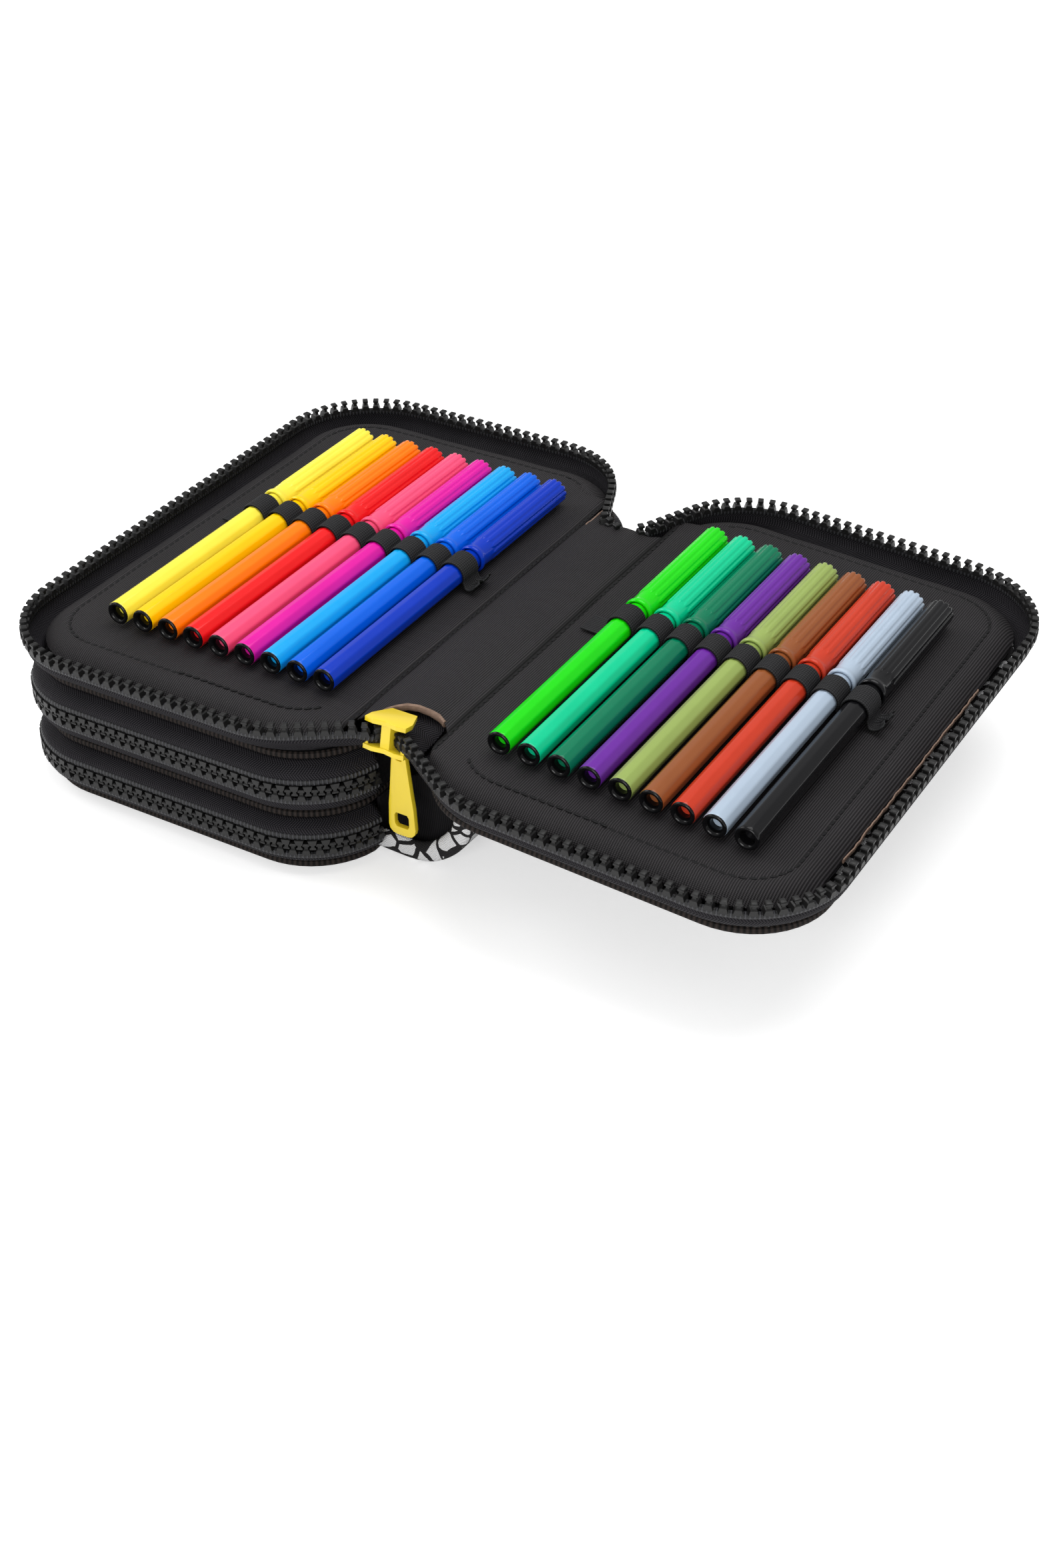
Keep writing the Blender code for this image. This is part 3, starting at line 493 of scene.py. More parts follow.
def tubeRows(line, radius, sides=8, flatten=1.0):
    # rows of points round a line of 3D points, for a cord or a rope edge
    rows = [[] for _ in range(sides)]
    for index, point in enumerate(line):
        ahead = (line[min(index + 1, len(line) - 1)] - line[max(index - 1, 0)]).normalized()
        aside = ahead.cross(Vector((0, 0, 1))).normalized()
        upward = aside.cross(ahead).normalized()
        for side in range(sides):
            angle = 2 * math.pi * side / sides
            rows[side].append(point + radius * (aside * math.cos(angle) + upward * math.sin(angle) * flatten))
    return rows


def closeEnds(bm):
    bmesh.ops.holes_fill(bm, edges=[edge for edge in bm.edges if edge.is_boundary], sides=0)
    bmesh.ops.recalc_face_normals(bm, faces=bm.faces)
    return bm


zipShape = {
    "pitch": 4.0, "tapeThickness": 0.55, "rows": 9, "toothRoot": -2.75, "beadFrom": -4.3, "beadRadius": 1.0,
    "tapeUnderBead": 0.6, "tapeCurve": 2.3, "tapePuff": 0.5, "lastGap": 1.2,
    "openSeam": 1.5, "openMesh": 12.75,
    "tooth": ((-2.75, 2.9, 2.9), (-1.0, 1.95, 2.9), (-0.65, 1.1, 1.9), (0.1, 1.1, 1.9),
              (0.35, 2.0, 2.3), (0.85, 2.0, 2.3), (1.15, 1.6, 1.8), (1.28, 0.95, 1.0)),
}


def toothMesh():
    # one moulded tooth: a tapered block, a neck and a rounded head, built up level by level
    bm = bmesh.new()
    levels = zipShape["tooth"]
    bmesh.ops.create_grid(bm, x_segments=1, y_segments=1, size=0.5)
    bmesh.ops.scale(bm, vec=(levels[0][1], levels[0][2], 1), verts=bm.verts)
    bmesh.ops.translate(bm, vec=(0, 0, levels[0][0]), verts=bm.verts)
    top = bm.faces[:]
    for (lastZ, lastWidth, lastDepth), (z, width, depth) in zip(levels, levels[1:]):
        grown = bmesh.ops.extrude_face_region(bm, geom=top)["geom"]
        moved = vertsOf(grown)
        top = [item for item in grown if isinstance(item, bmesh.types.BMFace)]
        bmesh.ops.translate(bm, vec=(0, 0, z - lastZ), verts=moved)
        bmesh.ops.scale(bm, vec=(width / lastWidth, depth / lastDepth, 1), verts=moved)
    bmesh.ops.recalc_face_normals(bm, faces=bm.faces)
    return keepMesh("tooth", bm)


def makeZipSide(name, body, seamZ, meshZ, lines, place, nodeName, firstTooth=0.0, lead=0.0):
    up = 1 if meshZ > seamZ else -1
    seam, teeth = pairLines(*lines)
    tapeTop = meshZ + up * (zipShape["beadFrom"] + zipShape["tapeUnderBead"])
    rows = []
    for index in range(zipShape["rows"]):
        share = index / (zipShape["rows"] - 1)
        out = 1 - (1 - share) ** zipShape["tapeCurve"]
        puff = zipShape["tapePuff"] * math.sin(math.pi * share)
        height = seamZ + (tapeTop - seamZ) * share
        row = []
        for first, second in zip(seam, teeth):
            spread = (second - first).xy
            point = first.xy + spread * out
            if spread.length > 0.1:
                point = point + spread.normalized() * puff
            row.append(Vector((*point, height + second.z * share)))
        rows.append(row)
    if up < 0:
        rows.reverse()
    bm = clothGrid(rows)
    flatWidth, flatLength = flatSize(bm, rows[4])
    tape = newPiece(name + "Tape", bm, finishes["tape"], place)
    thicken(tape, zipShape["tapeThickness"] * mm, 0.0)
    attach(tape, body)
    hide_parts(nodeName)
    flatWidth >= 0.01

    # the sewn edge that holds the teeth
    beadZ = meshZ + up * ((zipShape["beadFrom"] + zipShape["toothRoot"]) / 2)
    line = [Vector((point.x, point.y, beadZ + point.z)) for point in teeth]
    bm = closeEnds(sweepRows(tubeRows(line, zipShape["beadRadius"], 8, 1.15), True))
    edge = newPiece(name + "Edge", bm, finishes["tapeEdge"], place)
    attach(edge, body)

    # the row of teeth
    lengths = lengthsAlong(teeth)
    pitch = zipShape["pitch"]
    bm = bmesh.new()
    distance = (lead + pitch / 4 + firstTooth * pitch) % pitch
    while distance < lengths[-1] - zipShape["lastGap"]:
        point, ahead = pointAlong(teeth, lengths, distance)
        stampMesh(bm, toothTemplate, point, ahead, meshZ + point.z, up)
        distance += pitch
    bmesh.ops.recalc_face_normals(bm, faces=bm.faces)
    if place.determinant() < 0:
        bmesh.ops.reverse_faces(bm, faces=bm.faces)
    row = newPiece(name + "Teeth", bm, finishes["tooth"], place, 30)
    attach(row, body)


def makeZips():
    gap = case["shutEndGap"]
    shut = (sideLine(0, gap, gap), sideLine(case["shutBulge"], gap, gap))
    for name, body, seamZ, meshZ, nodeName, carrier, first in (
            ("bottomZipLower", "bottom_case", 3.1, 10.7, "bottom_zip_lower", "bottom_cover", 0.0),
            ("bottomZipUpper", "lower_leaf", 18.7, 10.7, "bottom_zip_upper", "lower_divider", 0.5),
            ("middleZipLower", "lower_leaf", 21.7, 31.1, "middle_zip_lower", "lower_divider", 0.0),
            ("middleZipUpper", "upper_leaf", 40.5, 31.1, "middle_zip_upper", "upper_divider", 0.5)):
        makeZipSide(name, body, seamZ, meshZ, shut, onStack, nodeName, first)
    for name, body, place, nodeName, carrier, first in (
            ("topZipLower", "upper_leaf", onDivider, "top_zip_lower", "upper_divider", 0.0),
            ("topZipLid", "lid", onLid, "top_zip_lid", "lid_cover", 0.5)):
        ends = chainEnds["lid" if body == "lid" else "divider"]
        opened = (openSeamLine(ends), openTeethLine(ends))
        lead = lengthsAlong(opened[1][:len(ends["nearTeeth"]) + 1])[-1]
        seamZ, meshZ = zipShape["openSeam"], zipShape["openMesh"]
        makeZipSide(name, body, seamZ, meshZ, opened, place, nodeName, first, lead)
    print("zips made")


liningShape = {
    "inset": 0.9, "rim": 4.4, "top": 10.2, "edgeDrop": 4.2, "edgeWidth": 9.0, "edgeCurve": 2.2,
    "nearRadius": 17, "seamInset": 9.1, "seamDepth": 0.6, "seamWidth": 0.8, "seamX": 60.6,
    "foldDepth": 0.8, "foldWidth": 0.9, "swell": 0.35, "ripple": 0.22, "skirt": 1.6, "thickness": 0.5,
}


def roundedGrid(bm, halfX, halfY, radius, lowX, nearRadius=None):
    # bends a square grid's corners on to a rounded outline; the near spine corner may be sharper
    for vert in bm.verts:
        x, y = vert.co.x * halfX, vert.co.y * halfY
        corner = nearRadius if nearRadius and x > 0 and y < 0 else radius
        overX, overY = abs(x) - (halfX - corner), abs(y) - (halfY - corner)
        if overX > 0 and overY > 0:
            shareX, shareY = overX / corner, overY / corner
            overX, overY = (shareX * math.sqrt(1 - shareY ** 2 / 2), shareY * math.sqrt(1 - shareX ** 2 / 2))
            x = math.copysign(halfX - corner + overX * corner, x)
            y = math.copysign(halfY - corner + overY * corner, y)
        vert.co.x = min(x, lowX)
        vert.co.y = y


def edgeDistance(x, y, halfX, halfY, radius):
    # how far a point lies inside a rounded board, whose straight spine side doesn't count
    inX, inY = abs(x) - (halfX - radius), abs(y) - (halfY - radius)
    if x > 0:
        inX *= min(1.0, max(0.0, inY / 10))
    if inX > 0 and inY > 0:
        return radius - math.hypot(inX, inY)
    return halfY - abs(y) if x > 0 else min(halfX - abs(x), halfY - abs(y))


def groove(distance, width):
    return math.exp(-(distance / width) ** 2)


def liningHeight(x, y):
    halfX = case["boardWidth"] / 2 - liningShape["inset"]
    halfY = case["boardLength"] / 2 - liningShape["inset"]
    nearCorner = x > 0 and y < 0
    radius = liningShape["nearRadius"] if nearCorner else case["cornerRadius"] - liningShape["inset"]
    inside = edgeDistance(x, y, halfX, halfY, radius)
    share = min(1.0, max(0.0, inside / liningShape["edgeWidth"]))
    height = liningShape["top"] - liningShape["edgeDrop"] * (1 - share) ** liningShape["edgeCurve"]
    if not nearCorner:
        fromSeam = inside - liningShape["seamInset"] + liningShape["inset"]
        height -= liningShape["seamDepth"] * groove(fromSeam, liningShape["seamWidth"])
    height -= liningShape["foldDepth"] * groove(x - liningShape["seamX"], liningShape["foldWidth"])
    swell = noise.noise(Vector((x * 0.02, y * 0.035, 3.1))) * liningShape["swell"]
    ripple = noise.noise(Vector((x * 0.09 + 7, y * 0.05, 1.7))) * liningShape["ripple"] * (1 - share * 0.6)
    return height + swell + ripple


def makeLining(name, body, place, nodeName):
    halfX = case["boardWidth"] / 2 - liningShape["inset"]
    halfY = case["boardLength"] / 2 - liningShape["inset"]
    radius = case["cornerRadius"] - liningShape["inset"]
    bm = bmesh.new()
    bmesh.ops.create_grid(bm, x_segments=110, y_segments=150, size=1)
    roundedGrid(bm, halfX, halfY, radius, case["spineEdge"], liningShape["nearRadius"])
    for vert in bm.verts:
        vert.co.z = liningHeight(vert.co.x, vert.co.y)
    rim = [edge for edge in bm.edges if edge.is_boundary]
    skirt = bmesh.ops.extrude_edge_only(bm, edges=rim)["geom"]
    down = vertsOf(skirt)
    bmesh.ops.translate(bm, vec=(0, 0, -liningShape["skirt"]), verts=down)
    bmesh.ops.scale(bm, vec=(0.994, 0.996, 1), verts=down)
    bmesh.ops.recalc_face_normals(bm, faces=bm.faces)
    panel = newPiece(name, bm, finishes["lining"], place, 60)
    thicken(panel, liningShape["thickness"] * mm)
    # the points of the padding's rim, which stays on the board, and of its top
    rim, top = (place @ Vector((0, 0, liningShape[level])) for level in ("rim", "top"))
    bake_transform(panel)
    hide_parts(nodeName)
    makeStitches(name + "Stitches", body, place, (
        sideLine(-liningShape["seamInset"], 40, 52, 20),
        [Vector((liningShape["seamX"], y, 0)) for y in range(-82, 74, 2)]))


# the inner face of the lid's tape, between the spine's cloth and the last teeth: points along both edges
tapeEnd = {
    "upper": ((75.0, -66.5, 51.6), (79.0, -66.8, 51.2), (83.0, -67.5, 50.6), (87.0, -69.0, 50.2)),
    "lower": ((76.8, -80.0, 48.9), (78.6, -81.5, 47.8), (81.2, -82.6, 46.9), (84.6, -84.4, 46.4)),
    "steps": 6, "slack": 1.1,
}


def makeTapeEnd():
    upper = [Vector(spot) for spot in tapeEnd["upper"]]
    lower = [Vector(spot) for spot in tapeEnd["lower"]]
    rows = []
    for step in range(tapeEnd["steps"] + 1):
        share = step / tapeEnd["steps"]
        slack = Vector((0, 0, -tapeEnd["slack"] * math.sin(math.pi * share)))
        rows.append([high.lerp(low, share) + slack for high, low in zip(upper, lower)])
    bm = clothGrid(rows)
    patch = newPiece("topZipLidTapeEnd", bm, finishes["tape"], onStack)
    thicken(patch, zipShape["tapeThickness"] * mm)
    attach(patch, "lid")


def makeRawEdge(name, body, place, line, height):
    # the raw brown edge of the board under the cloth
    ragged = [point + 0.3 * noise.noise_vector(point * 0.4) for point in line]
    bm = closeEnds(sweepRows(tubeRows(ragged, 0.4, 6, height), True))
    strip = newPiece(name, bm, finishes["rawEdge"], place)
    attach(strip, body)


# one stitch of thread, and how it lies on the lining (mm; askew is a share of its length)
stitch = {"size": (2.3, 0.85, 0.6), "rounding": 0.28, "pitch": 2.9, "askew": 0.16, "lift": 0.2}


def stitchMesh():
    bm = bmesh.new()
    bmesh.ops.create_cube(bm, size=1)
    bmesh.ops.bevel(
        bm, geom=bm.edges[:], offset=stitch["rounding"], segments=1, profile=0.5, affect="EDGES", material=-1)
    bmesh.ops.scale(bm, vec=stitch["size"], verts=bm.verts)
    return keepMesh("stitch", bm)


def makeStitches(name, body, place, lines):
    bm = bmesh.new()
    for line in lines:
        lengths = lengthsAlong(line)
        distance = stitch["pitch"] / 2
        while distance < lengths[-1]:
            point, ahead = pointAlong(line, lengths, distance)
            ahead = (ahead + Vector((-ahead.y, ahead.x)) * stitch["askew"]).normalized()
            stampMesh(bm, stitchTemplate, point, ahead, liningHeight(point.x, point.y) + stitch["lift"])
            distance += stitch["pitch"]
    row = newPiece(name, bm, finishes["thread"], place)
    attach(row, body)


pen = {
    "count": 9, "sides": 10, "flutes": 12, "axisHeight": 15.3, "loopMiddle": 77.0,
    "left": {"first": -96.4, "pitch": 10.0, "nearY": -73.7},
    "lid": {"first": 20.3, "pitch": 10.1, "nearY": -74.8},
}
leftColours = (
    ("lemon_yellow", (0.94, 0.82, 0.07)), ("golden_yellow", (1.0, 0.60, 0.001)),
    ("orange", (1.0, 0.21, 0.001)), ("red", (0.80, 0.010, 0.012)),
    ("pink", (0.88, 0.085, 0.20)), ("magenta", (0.74, 0.008, 0.34)),
    ("sky_blue", (0.006, 0.38, 0.82)), ("blue", (0.001, 0.12, 0.72)), ("dark_blue", (0.001, 0.036, 0.48)),
)
lidColours = (
    ("bright_green", (0.012, 0.68, 0.004)), ("mint_green", (0.001, 0.58, 0.28)),
    ("dark_green", (0.001, 0.18, 0.085)), ("purple", (0.14, 0.022, 0.32)),
    ("olive_green", (0.30, 0.40, 0.105)), ("brown", (0.28, 0.085, 0.025)),
    ("rust_red", (0.56, 0.042, 0.016)), ("pale_blue_grey", (0.42, 0.51, 0.62)),
    ("black", (0.006, 0.006, 0.007)),
)


def spunShape(profile, steps):
    # a round piece along +Y, spun from (radius, y) points listed down its outer side
    bm = bmesh.new()
    dots = [bm.verts.new((radius, y, 0)) for radius, y in profile]
    edges = [bm.edges.new(pair) for pair in zip(dots, dots[1:])]
    bmesh.ops.spin(
        bm, geom=dots + edges, cent=(0, 0, 0), axis=(0, 1, 0), dvec=(0, 0, 0), angle=2 * math.pi, steps=steps,
        use_merge=True, use_duplicate=False)
    bmesh.ops.remove_doubles(bm, verts=bm.verts, dist=0.001)
    bmesh.ops.recalc_face_normals(bm, faces=bm.faces)
    return bm


def barrelShape():
    # ten flat sides that run out into a round neck; the flats are pulled in on a round tube
    profile = [(0.01, 3.0), (3.7, 3.0), (3.7, 0.4), (3.76, 0.16), (3.86, 0.12), (3.95, 0.3), (4.0, 0.7)]
    profile += [(4.0, y) for y in (10, 20, 30, 40, 50, 60, 70, 79.6)]
    profile += [
        (3.9, 80.3), (3.65, 80.9), (3.65, 84), (3.4, 86), (3.4, 98), (1.9, 101), (0.6, 118), (0.01, 119)]
    bm = spunShape(profile, 60)
    half = math.pi / pen["sides"]
    for vert in bm.verts:
        radius = math.hypot(vert.co.x, vert.co.z)
        if radius > 3.8 and 0.3 < vert.co.y < 80.5:
            angle = math.atan2(vert.co.z, vert.co.x) % (2 * half) - half
            flat = min(1.0, math.cos(half) / math.cos(angle) * 1.012)
            fade = min(1.0, max(0.0, (80.5 - vert.co.y) / 1.2)) * min(1.0, vert.co.y / 0.8)
            factor = 1 - (1 - flat) * fade
            vert.co.x *= factor
            vert.co.z *= factor
    return bm


def plugShape():
    # the black plug: a rounded ring lip round a deep hole
    return spunShape([
        (0.01, 6.5), (1.9, 6.5), (2.0, 1.8), (2.2, 0.5), (2.5, -0.1), (2.85, -0.4), (3.2, -0.5),
        (3.55, -0.42), (3.78, -0.2), (3.85, 0.06), (3.84, 0.14), (3.4, 0.9), (3.4, 2.9)], 60)


def capShape():
    # a lip at the mouth, a plain band, then long raised flutes whose ends stand past the end disc
    profile = [
        (3.75, 86.5), (3.75, 84.7), (4.0, 84.25), (4.45, 84.2), (4.75, 84.5), (4.8, 85.1), (4.72, 85.8),
        (4.4, 86.6)]
    profile += [(4.3, y) for y in (
        87.5, 90, 91.6, 92.2, 92.8, 93.4, 94.2, 98, 106, 114, 122, 130, 136, 138.6, 139.5)]
    profile += [(4.1, 140.0), (3.75, 140.1), (3.45, 139.8), (3.4, 138.9), (3.0, 138.7), (0.01, 138.9)]
    bm = spunShape(profile, 12 * pen["flutes"])
    for vert in bm.verts:
        radius = math.hypot(vert.co.x, vert.co.z)
        y = vert.co.y
        angle = math.atan2(vert.co.z, vert.co.x) * pen["flutes"]
        rib = 0.5 + 0.5 * math.cos(angle)
        ridge = min(1.0, max(0.0, (rib - 0.08) / 0.5)) ** 0.8
        if 91.0 < y < 139.9 and radius > 4.0:
            start = min(1.0, max(0.0, (y - 91.4 - 2.2 * (1 - rib)) / 0.7))
            lift = -0.04 + 0.22 * ridge * start
            scale = (radius + lift) / radius
            vert.co.x *= scale
            vert.co.z *= scale
        if y > 139.2 and radius > 3.3:
            vert.co.y = y - 0.9 * (1 - ridge)
    bmesh.ops.recalc_face_normals(bm, faces=bm.faces)
    return bm


def makePens(colours, row, place, mirror):
    for index, (colour, shade) in enumerate(colours):
        spot = Vector((row["first"] + index * row["pitch"], row["nearY"], pen["axisHeight"]))
        roll = Matrix.Rotation(noise.noise(Vector((index * 3.7, mirror, 0.3))) * 1.5, 4, "Y")
        local = Matrix.Translation(spot) @ roll
        whole = place @ onStack @ local
        plastic = penPlastic("pen_" + colour, shade)
        barrel = newPiece("pen_" + colour, barrelShape(), plastic, whole, 50)
        plug = newPiece("plug_" + colour, plugShape(), finishes["plug"], whole, 50)
        cap = newPiece("top_" + colour, capShape(), plastic, whole, 50)
        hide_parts("barrel_" + colour)
        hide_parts("cap_" + colour)
        for piece, body in ((barrel, "barrel"), (plug, "barrel"), (cap, "cap")):
            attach(piece, f"{body}_{colour}_body")


# an elastic band, and its loose tail as (distance past the last pen, height)
band = {
    "width": 9.0, "cords": 10, "radius": 4.25, "cordHeight": 0.4, "thickness": 0.3, "base": 10.75,
    "tail": ((0.1, 12.6), (0.5, 11.4), (1.4, 10.9), (2.8, 11.1), (4.3, 12.0), (5.2, 13.2)),
}


def bandPath(row):
    # the band seen from the end: over each pen and down to the lining between them
    points = []
    axis = pen["axisHeight"]
    radius = band["radius"]
    half = row["pitch"] / 2
    first = row["first"]
    points += [
        (first - radius - 9.5, band["base"]), (first - radius - 3.0, band["base"]),
        (first - radius - 0.9, 11.1)]
    for index in range(pen["count"]):
        middle = first + index * row["pitch"]
        for step in range(15):
            angle = math.radians(202 - 224 * step / 14)
            points.append((middle + radius * math.cos(angle), axis + radius * math.sin(angle)))
        if index < pen["count"] - 1:
            points.append((middle + half - 0.42, 12.2))
            points.append((middle + half - 0.25, band["base"] + 0.1))
            points.append((middle + half + 0.25, band["base"] + 0.1))
            points.append((middle + half + 0.42, 12.2))
    return points


def makeBand(name, row, place, body, nodeName):
    points = bandPath(row)
    last = row["first"] + (pen["count"] - 1) * row["pitch"] + band["radius"]
    tail = [(last + away, height) for away, height in band["tail"]]
    points = points + tail
    columns = band["cords"] * 4
    middleY = row["nearY"] + pen["loopMiddle"]
    rows = []
    for column in range(columns + 1):
        share = column / columns
        wave = (0.5 + 0.5 * math.cos(2 * math.pi * share * band["cords"] + math.pi)) ** 0.6
        line = []
        for index, point in enumerate(points):
            before = Vector(points[max(index - 1, 0)])
            after = Vector(points[min(index + 1, len(points) - 1)])
            ahead = (after - before).normalized()
            outward = Vector((-ahead.y, ahead.x))
            loose = max(0.0, (index - (len(points) - len(tail))) / (len(tail) - 1))
            y = middleY + (share - 0.5) * band["width"] * (1 + 0.15 * loose)
            spot = Vector(point) + outward * band["cordHeight"] * wave
            frill = loose * (1.0 * math.sin(share * 11.0) + 0.4 * math.sin(share * 27.0))
            line.append(Vector((spot.x + frill * 0.5, y, spot.y + abs(frill) * 0.6)))
        rows.append(line)
    rows.reverse()
    bm = sweepRows(rows)
    # one width of cloth across the map, so that the cords' painted highlights and painted shade lie on the
    # cords
    uvLayer = bm.loops.layers.uv["cloth"]
    across = lengthsAlong([line[len(points) // 2] for line in rows])[-1]
    for face in bm.faces:
        for loop in face.loops:
            loop[uvLayer].uv.y *= band["width"] / across
    piece = newPiece(name, bm, finishes["elastic"], place @ onStack, 80)
    thicken(piece, band["thickness"] * mm)
    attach(piece, body)
    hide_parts(nodeName)


def outlineLine(grow, steps=12):
    line = []
    inX = case["boardWidth"] / 2 - case["cornerRadius"]
    inY = case["boardLength"] / 2 - case["cornerRadius"]
    for quarter, (sideX, sideY) in enumerate(((1, 1), (-1, 1), (-1, -1), (1, -1))):
        middle = (sideX * inX, sideY * inY)
        cornerArc(line, middle, case["cornerRadius"] + grow, 90 * quarter, 90 * (quarter + 1), steps)
    return [Vector((min(point.x, case["spineEdge"]), point.y, 0)) for point in line]


# the outer boards: cloth past the board's edge, rounding at the rim, crown and dimples of the padding (mm)
coverShape = {
    "over": 0.8, "edgeDrop": 0.8, "edgeWidth": 2, "crownWidth": 14, "crownCurve": 0.6, "dimple": 0.3,
}


def makeCover(name, body, place, nodeName, low, high, puff):
    # a padded board: a closed form from its rounded outline, its outer side a little crowned
    halfX = case["boardWidth"] / 2 + coverShape["over"]
    halfY = case["boardLength"] / 2 + coverShape["over"]
    radius = case["cornerRadius"] + coverShape["over"]
    edgeDrop = coverShape["edgeDrop"]
    bm = bmesh.new()
    bmesh.ops.create_grid(bm, x_segments=60, y_segments=84, size=1)
    roundedGrid(bm, halfX, halfY, radius, case["spineEdge"])
    for vert in bm.verts:
        inside = edgeDistance(vert.co.x, vert.co.y, halfX, halfY, radius)
        crown = min(1.0, max(0.0, inside / coverShape["crownWidth"])) ** coverShape["crownCurve"]
        dimple = noise.noise(Vector((vert.co.x * 0.03, vert.co.y * 0.03, 9))) * coverShape["dimple"]
        rounding = edgeDrop * min(1.0, inside / coverShape["edgeWidth"])
        vert.co.z = low + edgeDrop - (puff + dimple * (puff > 0)) * crown - rounding
    bmesh.ops.reverse_faces(bm, faces=bm.faces)
    rim = [edge for edge in bm.edges if edge.is_boundary]
    wall = bmesh.ops.extrude_edge_only(bm, edges=rim)["geom"]
    for vert in vertsOf(wall):
        vert.co.z = high
    bmesh.ops.holes_fill(bm, edges=[edge for edge in bm.edges if edge.is_boundary], sides=0)
    bmesh.ops.recalc_face_normals(bm, faces=bm.faces)
    cover = newPiece(name, bm, finishes["cover"], place, 60)
    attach(cover, body)
    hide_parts(nodeName)
    makeRope(name + "SewnEdge", body, place, (low + high) / 2, 1.05)


def makeRope(name, body, place, height, radius):
    # the overlocked seam round a board's edge
    line = outlineLine(0.7)
    line = [Vector((point.x, point.y, height)) for point in line[2:] + line[:1]]
    bm = closeEnds(sweepRows(tubeRows(line, radius, 8, 1.2), True))
    edge = newPiece(name, bm, finishes["sewnEdge"], place)
    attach(edge, body)


# the cloth over the open compartment's spine: (x, near y, far y, height at the near end, height further in)
spineCloth = {
    "rows": (
        (60.9, -79.0, 72.0, 50.2, 50.7), (62.4, -78.0, 71.0, 51.0, 51.7), (64.0, -76.5, 66.0, 51.7, 52.2),
        (66.0, -75.0, 61.5, 52.2, 52.4), (67.4, -73.6, 60.4, 52.7, 52.2), (68.6, -72.2, 60.3, 53.3, 52.6),
        (70.6, -70.4, 60.6, 54.0, 52.9), (73.5, -69.0, 61.0, 54.5, 53.0), (77.0, -68.3, 61.4, 54.6, 53.0),
        (81.0, -68.0, 61.0, 54.1, 52.9), (83.6, -68.0, 60.6, 53.4, 52.7), (85.2, -68.2, 60.3, 52.7, 52.3),
        (86.6, -69.0, 60.6, 52.4, 52.5), (88.0, -70.5, 62.0, 52.0, 52.3), (89.6, -72.5, 64.0, 51.4, 51.6),
        (90.8, -74.0, 65.0, 50.4, 50.7)),
    "keep": 0.15, "rimRows": (3, 13), "liftRun": 7, "sag": 0.5, "sagRun": 6, "ripple": 0.3, "thickness": 0.5,
}


def spineRow(row, steps=76):
    x, nearY, farY, nearZ, innerZ = row
    line = []
    for step in range(steps + 1):
        y = nearY + (farY - nearY) * step / steps
        lift = (nearZ - innerZ) * math.exp(-(y - nearY) / spineCloth["liftRun"])
        sag = spineCloth["sag"] * math.exp(-(farY - y) / spineCloth["sagRun"])
        ripple = noise.noise(Vector((x * 0.11, y * 0.03, 4.4))) * spineCloth["ripple"]
        line.append(Vector((x, y, innerZ + lift - sag + ripple)))
    return line


def makeSpineCloth():
    rows = [spineRow(row) for row in spineCloth["rows"]]
    bm = clothGrid(rows)
    flatWidth, flatLength = flatSize(bm, rows[6])
    cloth = newPiece("spineLiningCloth", bm, finishes["lining"], onStack, 60)
    soften(cloth)
    thicken(cloth, spineCloth["thickness"] * mm)
    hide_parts("top_spine")
    first, last = spineCloth["rimRows"]
    line = [Vector((*rows[index][0].xy, rows[index][0].z - 0.5)) for index in range(first, last)]
    bm = closeEnds(sweepRows(tubeRows(line, 0.7, 8, 1.9), True))
    for vert in bm.verts:
        vert.co += 0.22 * noise.noise_vector(vert.co * 0.7)
    rim = newPiece("spineRawEdge", bm, finishes["rawEdge"], onStack)
    for piece in (cloth, rim):
        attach(piece, "top_spine_fold")
        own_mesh(piece)


# the slack outer cloth of the spine: its path seen from the near end, (x, z), and its turned hem
pouch = {
    "path": (
        (63.2, 1.2), (66.0, 0.9), (70.5, 0.8), (75.0, 0.7), (79.0, 1.2), (83.0, 2.4), (87.0, 4.6),
        (90.6, 7.4), (93.6, 10.6), (96.2, 14.4), (97.8, 18.5), (98.5, 23.0), (98.2, 27.5), (97.2, 32.0),
        (95.4, 35.5), (93.2, 38.2)),
    "nearY": -73.0, "farY": 60.0, "steps": 30, "sag": 1.2, "thickness": 0.5, "keep": 0.14,
    "hem": ((0.0, 0.0), (-0.9, 0.5), (-1.3, 1.6), (-1.2, 3.4), (-0.9, 5.4), (0.6, 6.2)),
}
# the ribbed cloth that closes its near end: how far in from the outer cloth, its middle and its bulge
gussetShape = {
    "steps": 8, "inset": (-1.2, 0.6), "behind": 4.5, "middle": (66.0, 9.0, 22.0), "bulge": 2.0,
    "thickness": 0.4,
}


def pouchLine(outward, y, sag=0.0):
    points = [Vector(point) for point in pouch["path"]]
    line = []
    for index, point in enumerate(points):
        ahead = (points[min(index + 1, len(points) - 1)] - points[max(index - 1, 0)]).normalized()
        outside = Vector((ahead.y, -ahead.x))
        share = index / (len(points) - 1)
        ripple = noise.noise(Vector((share * 4, y * 0.05, 2.2))) * 0.9 * math.sin(math.pi * share)
        spot = point + outside * (outward + ripple + sag * math.sin(math.pi * share))
        line.append(Vector((spot.x, y, max(spot.y, 0.35))))
    return line


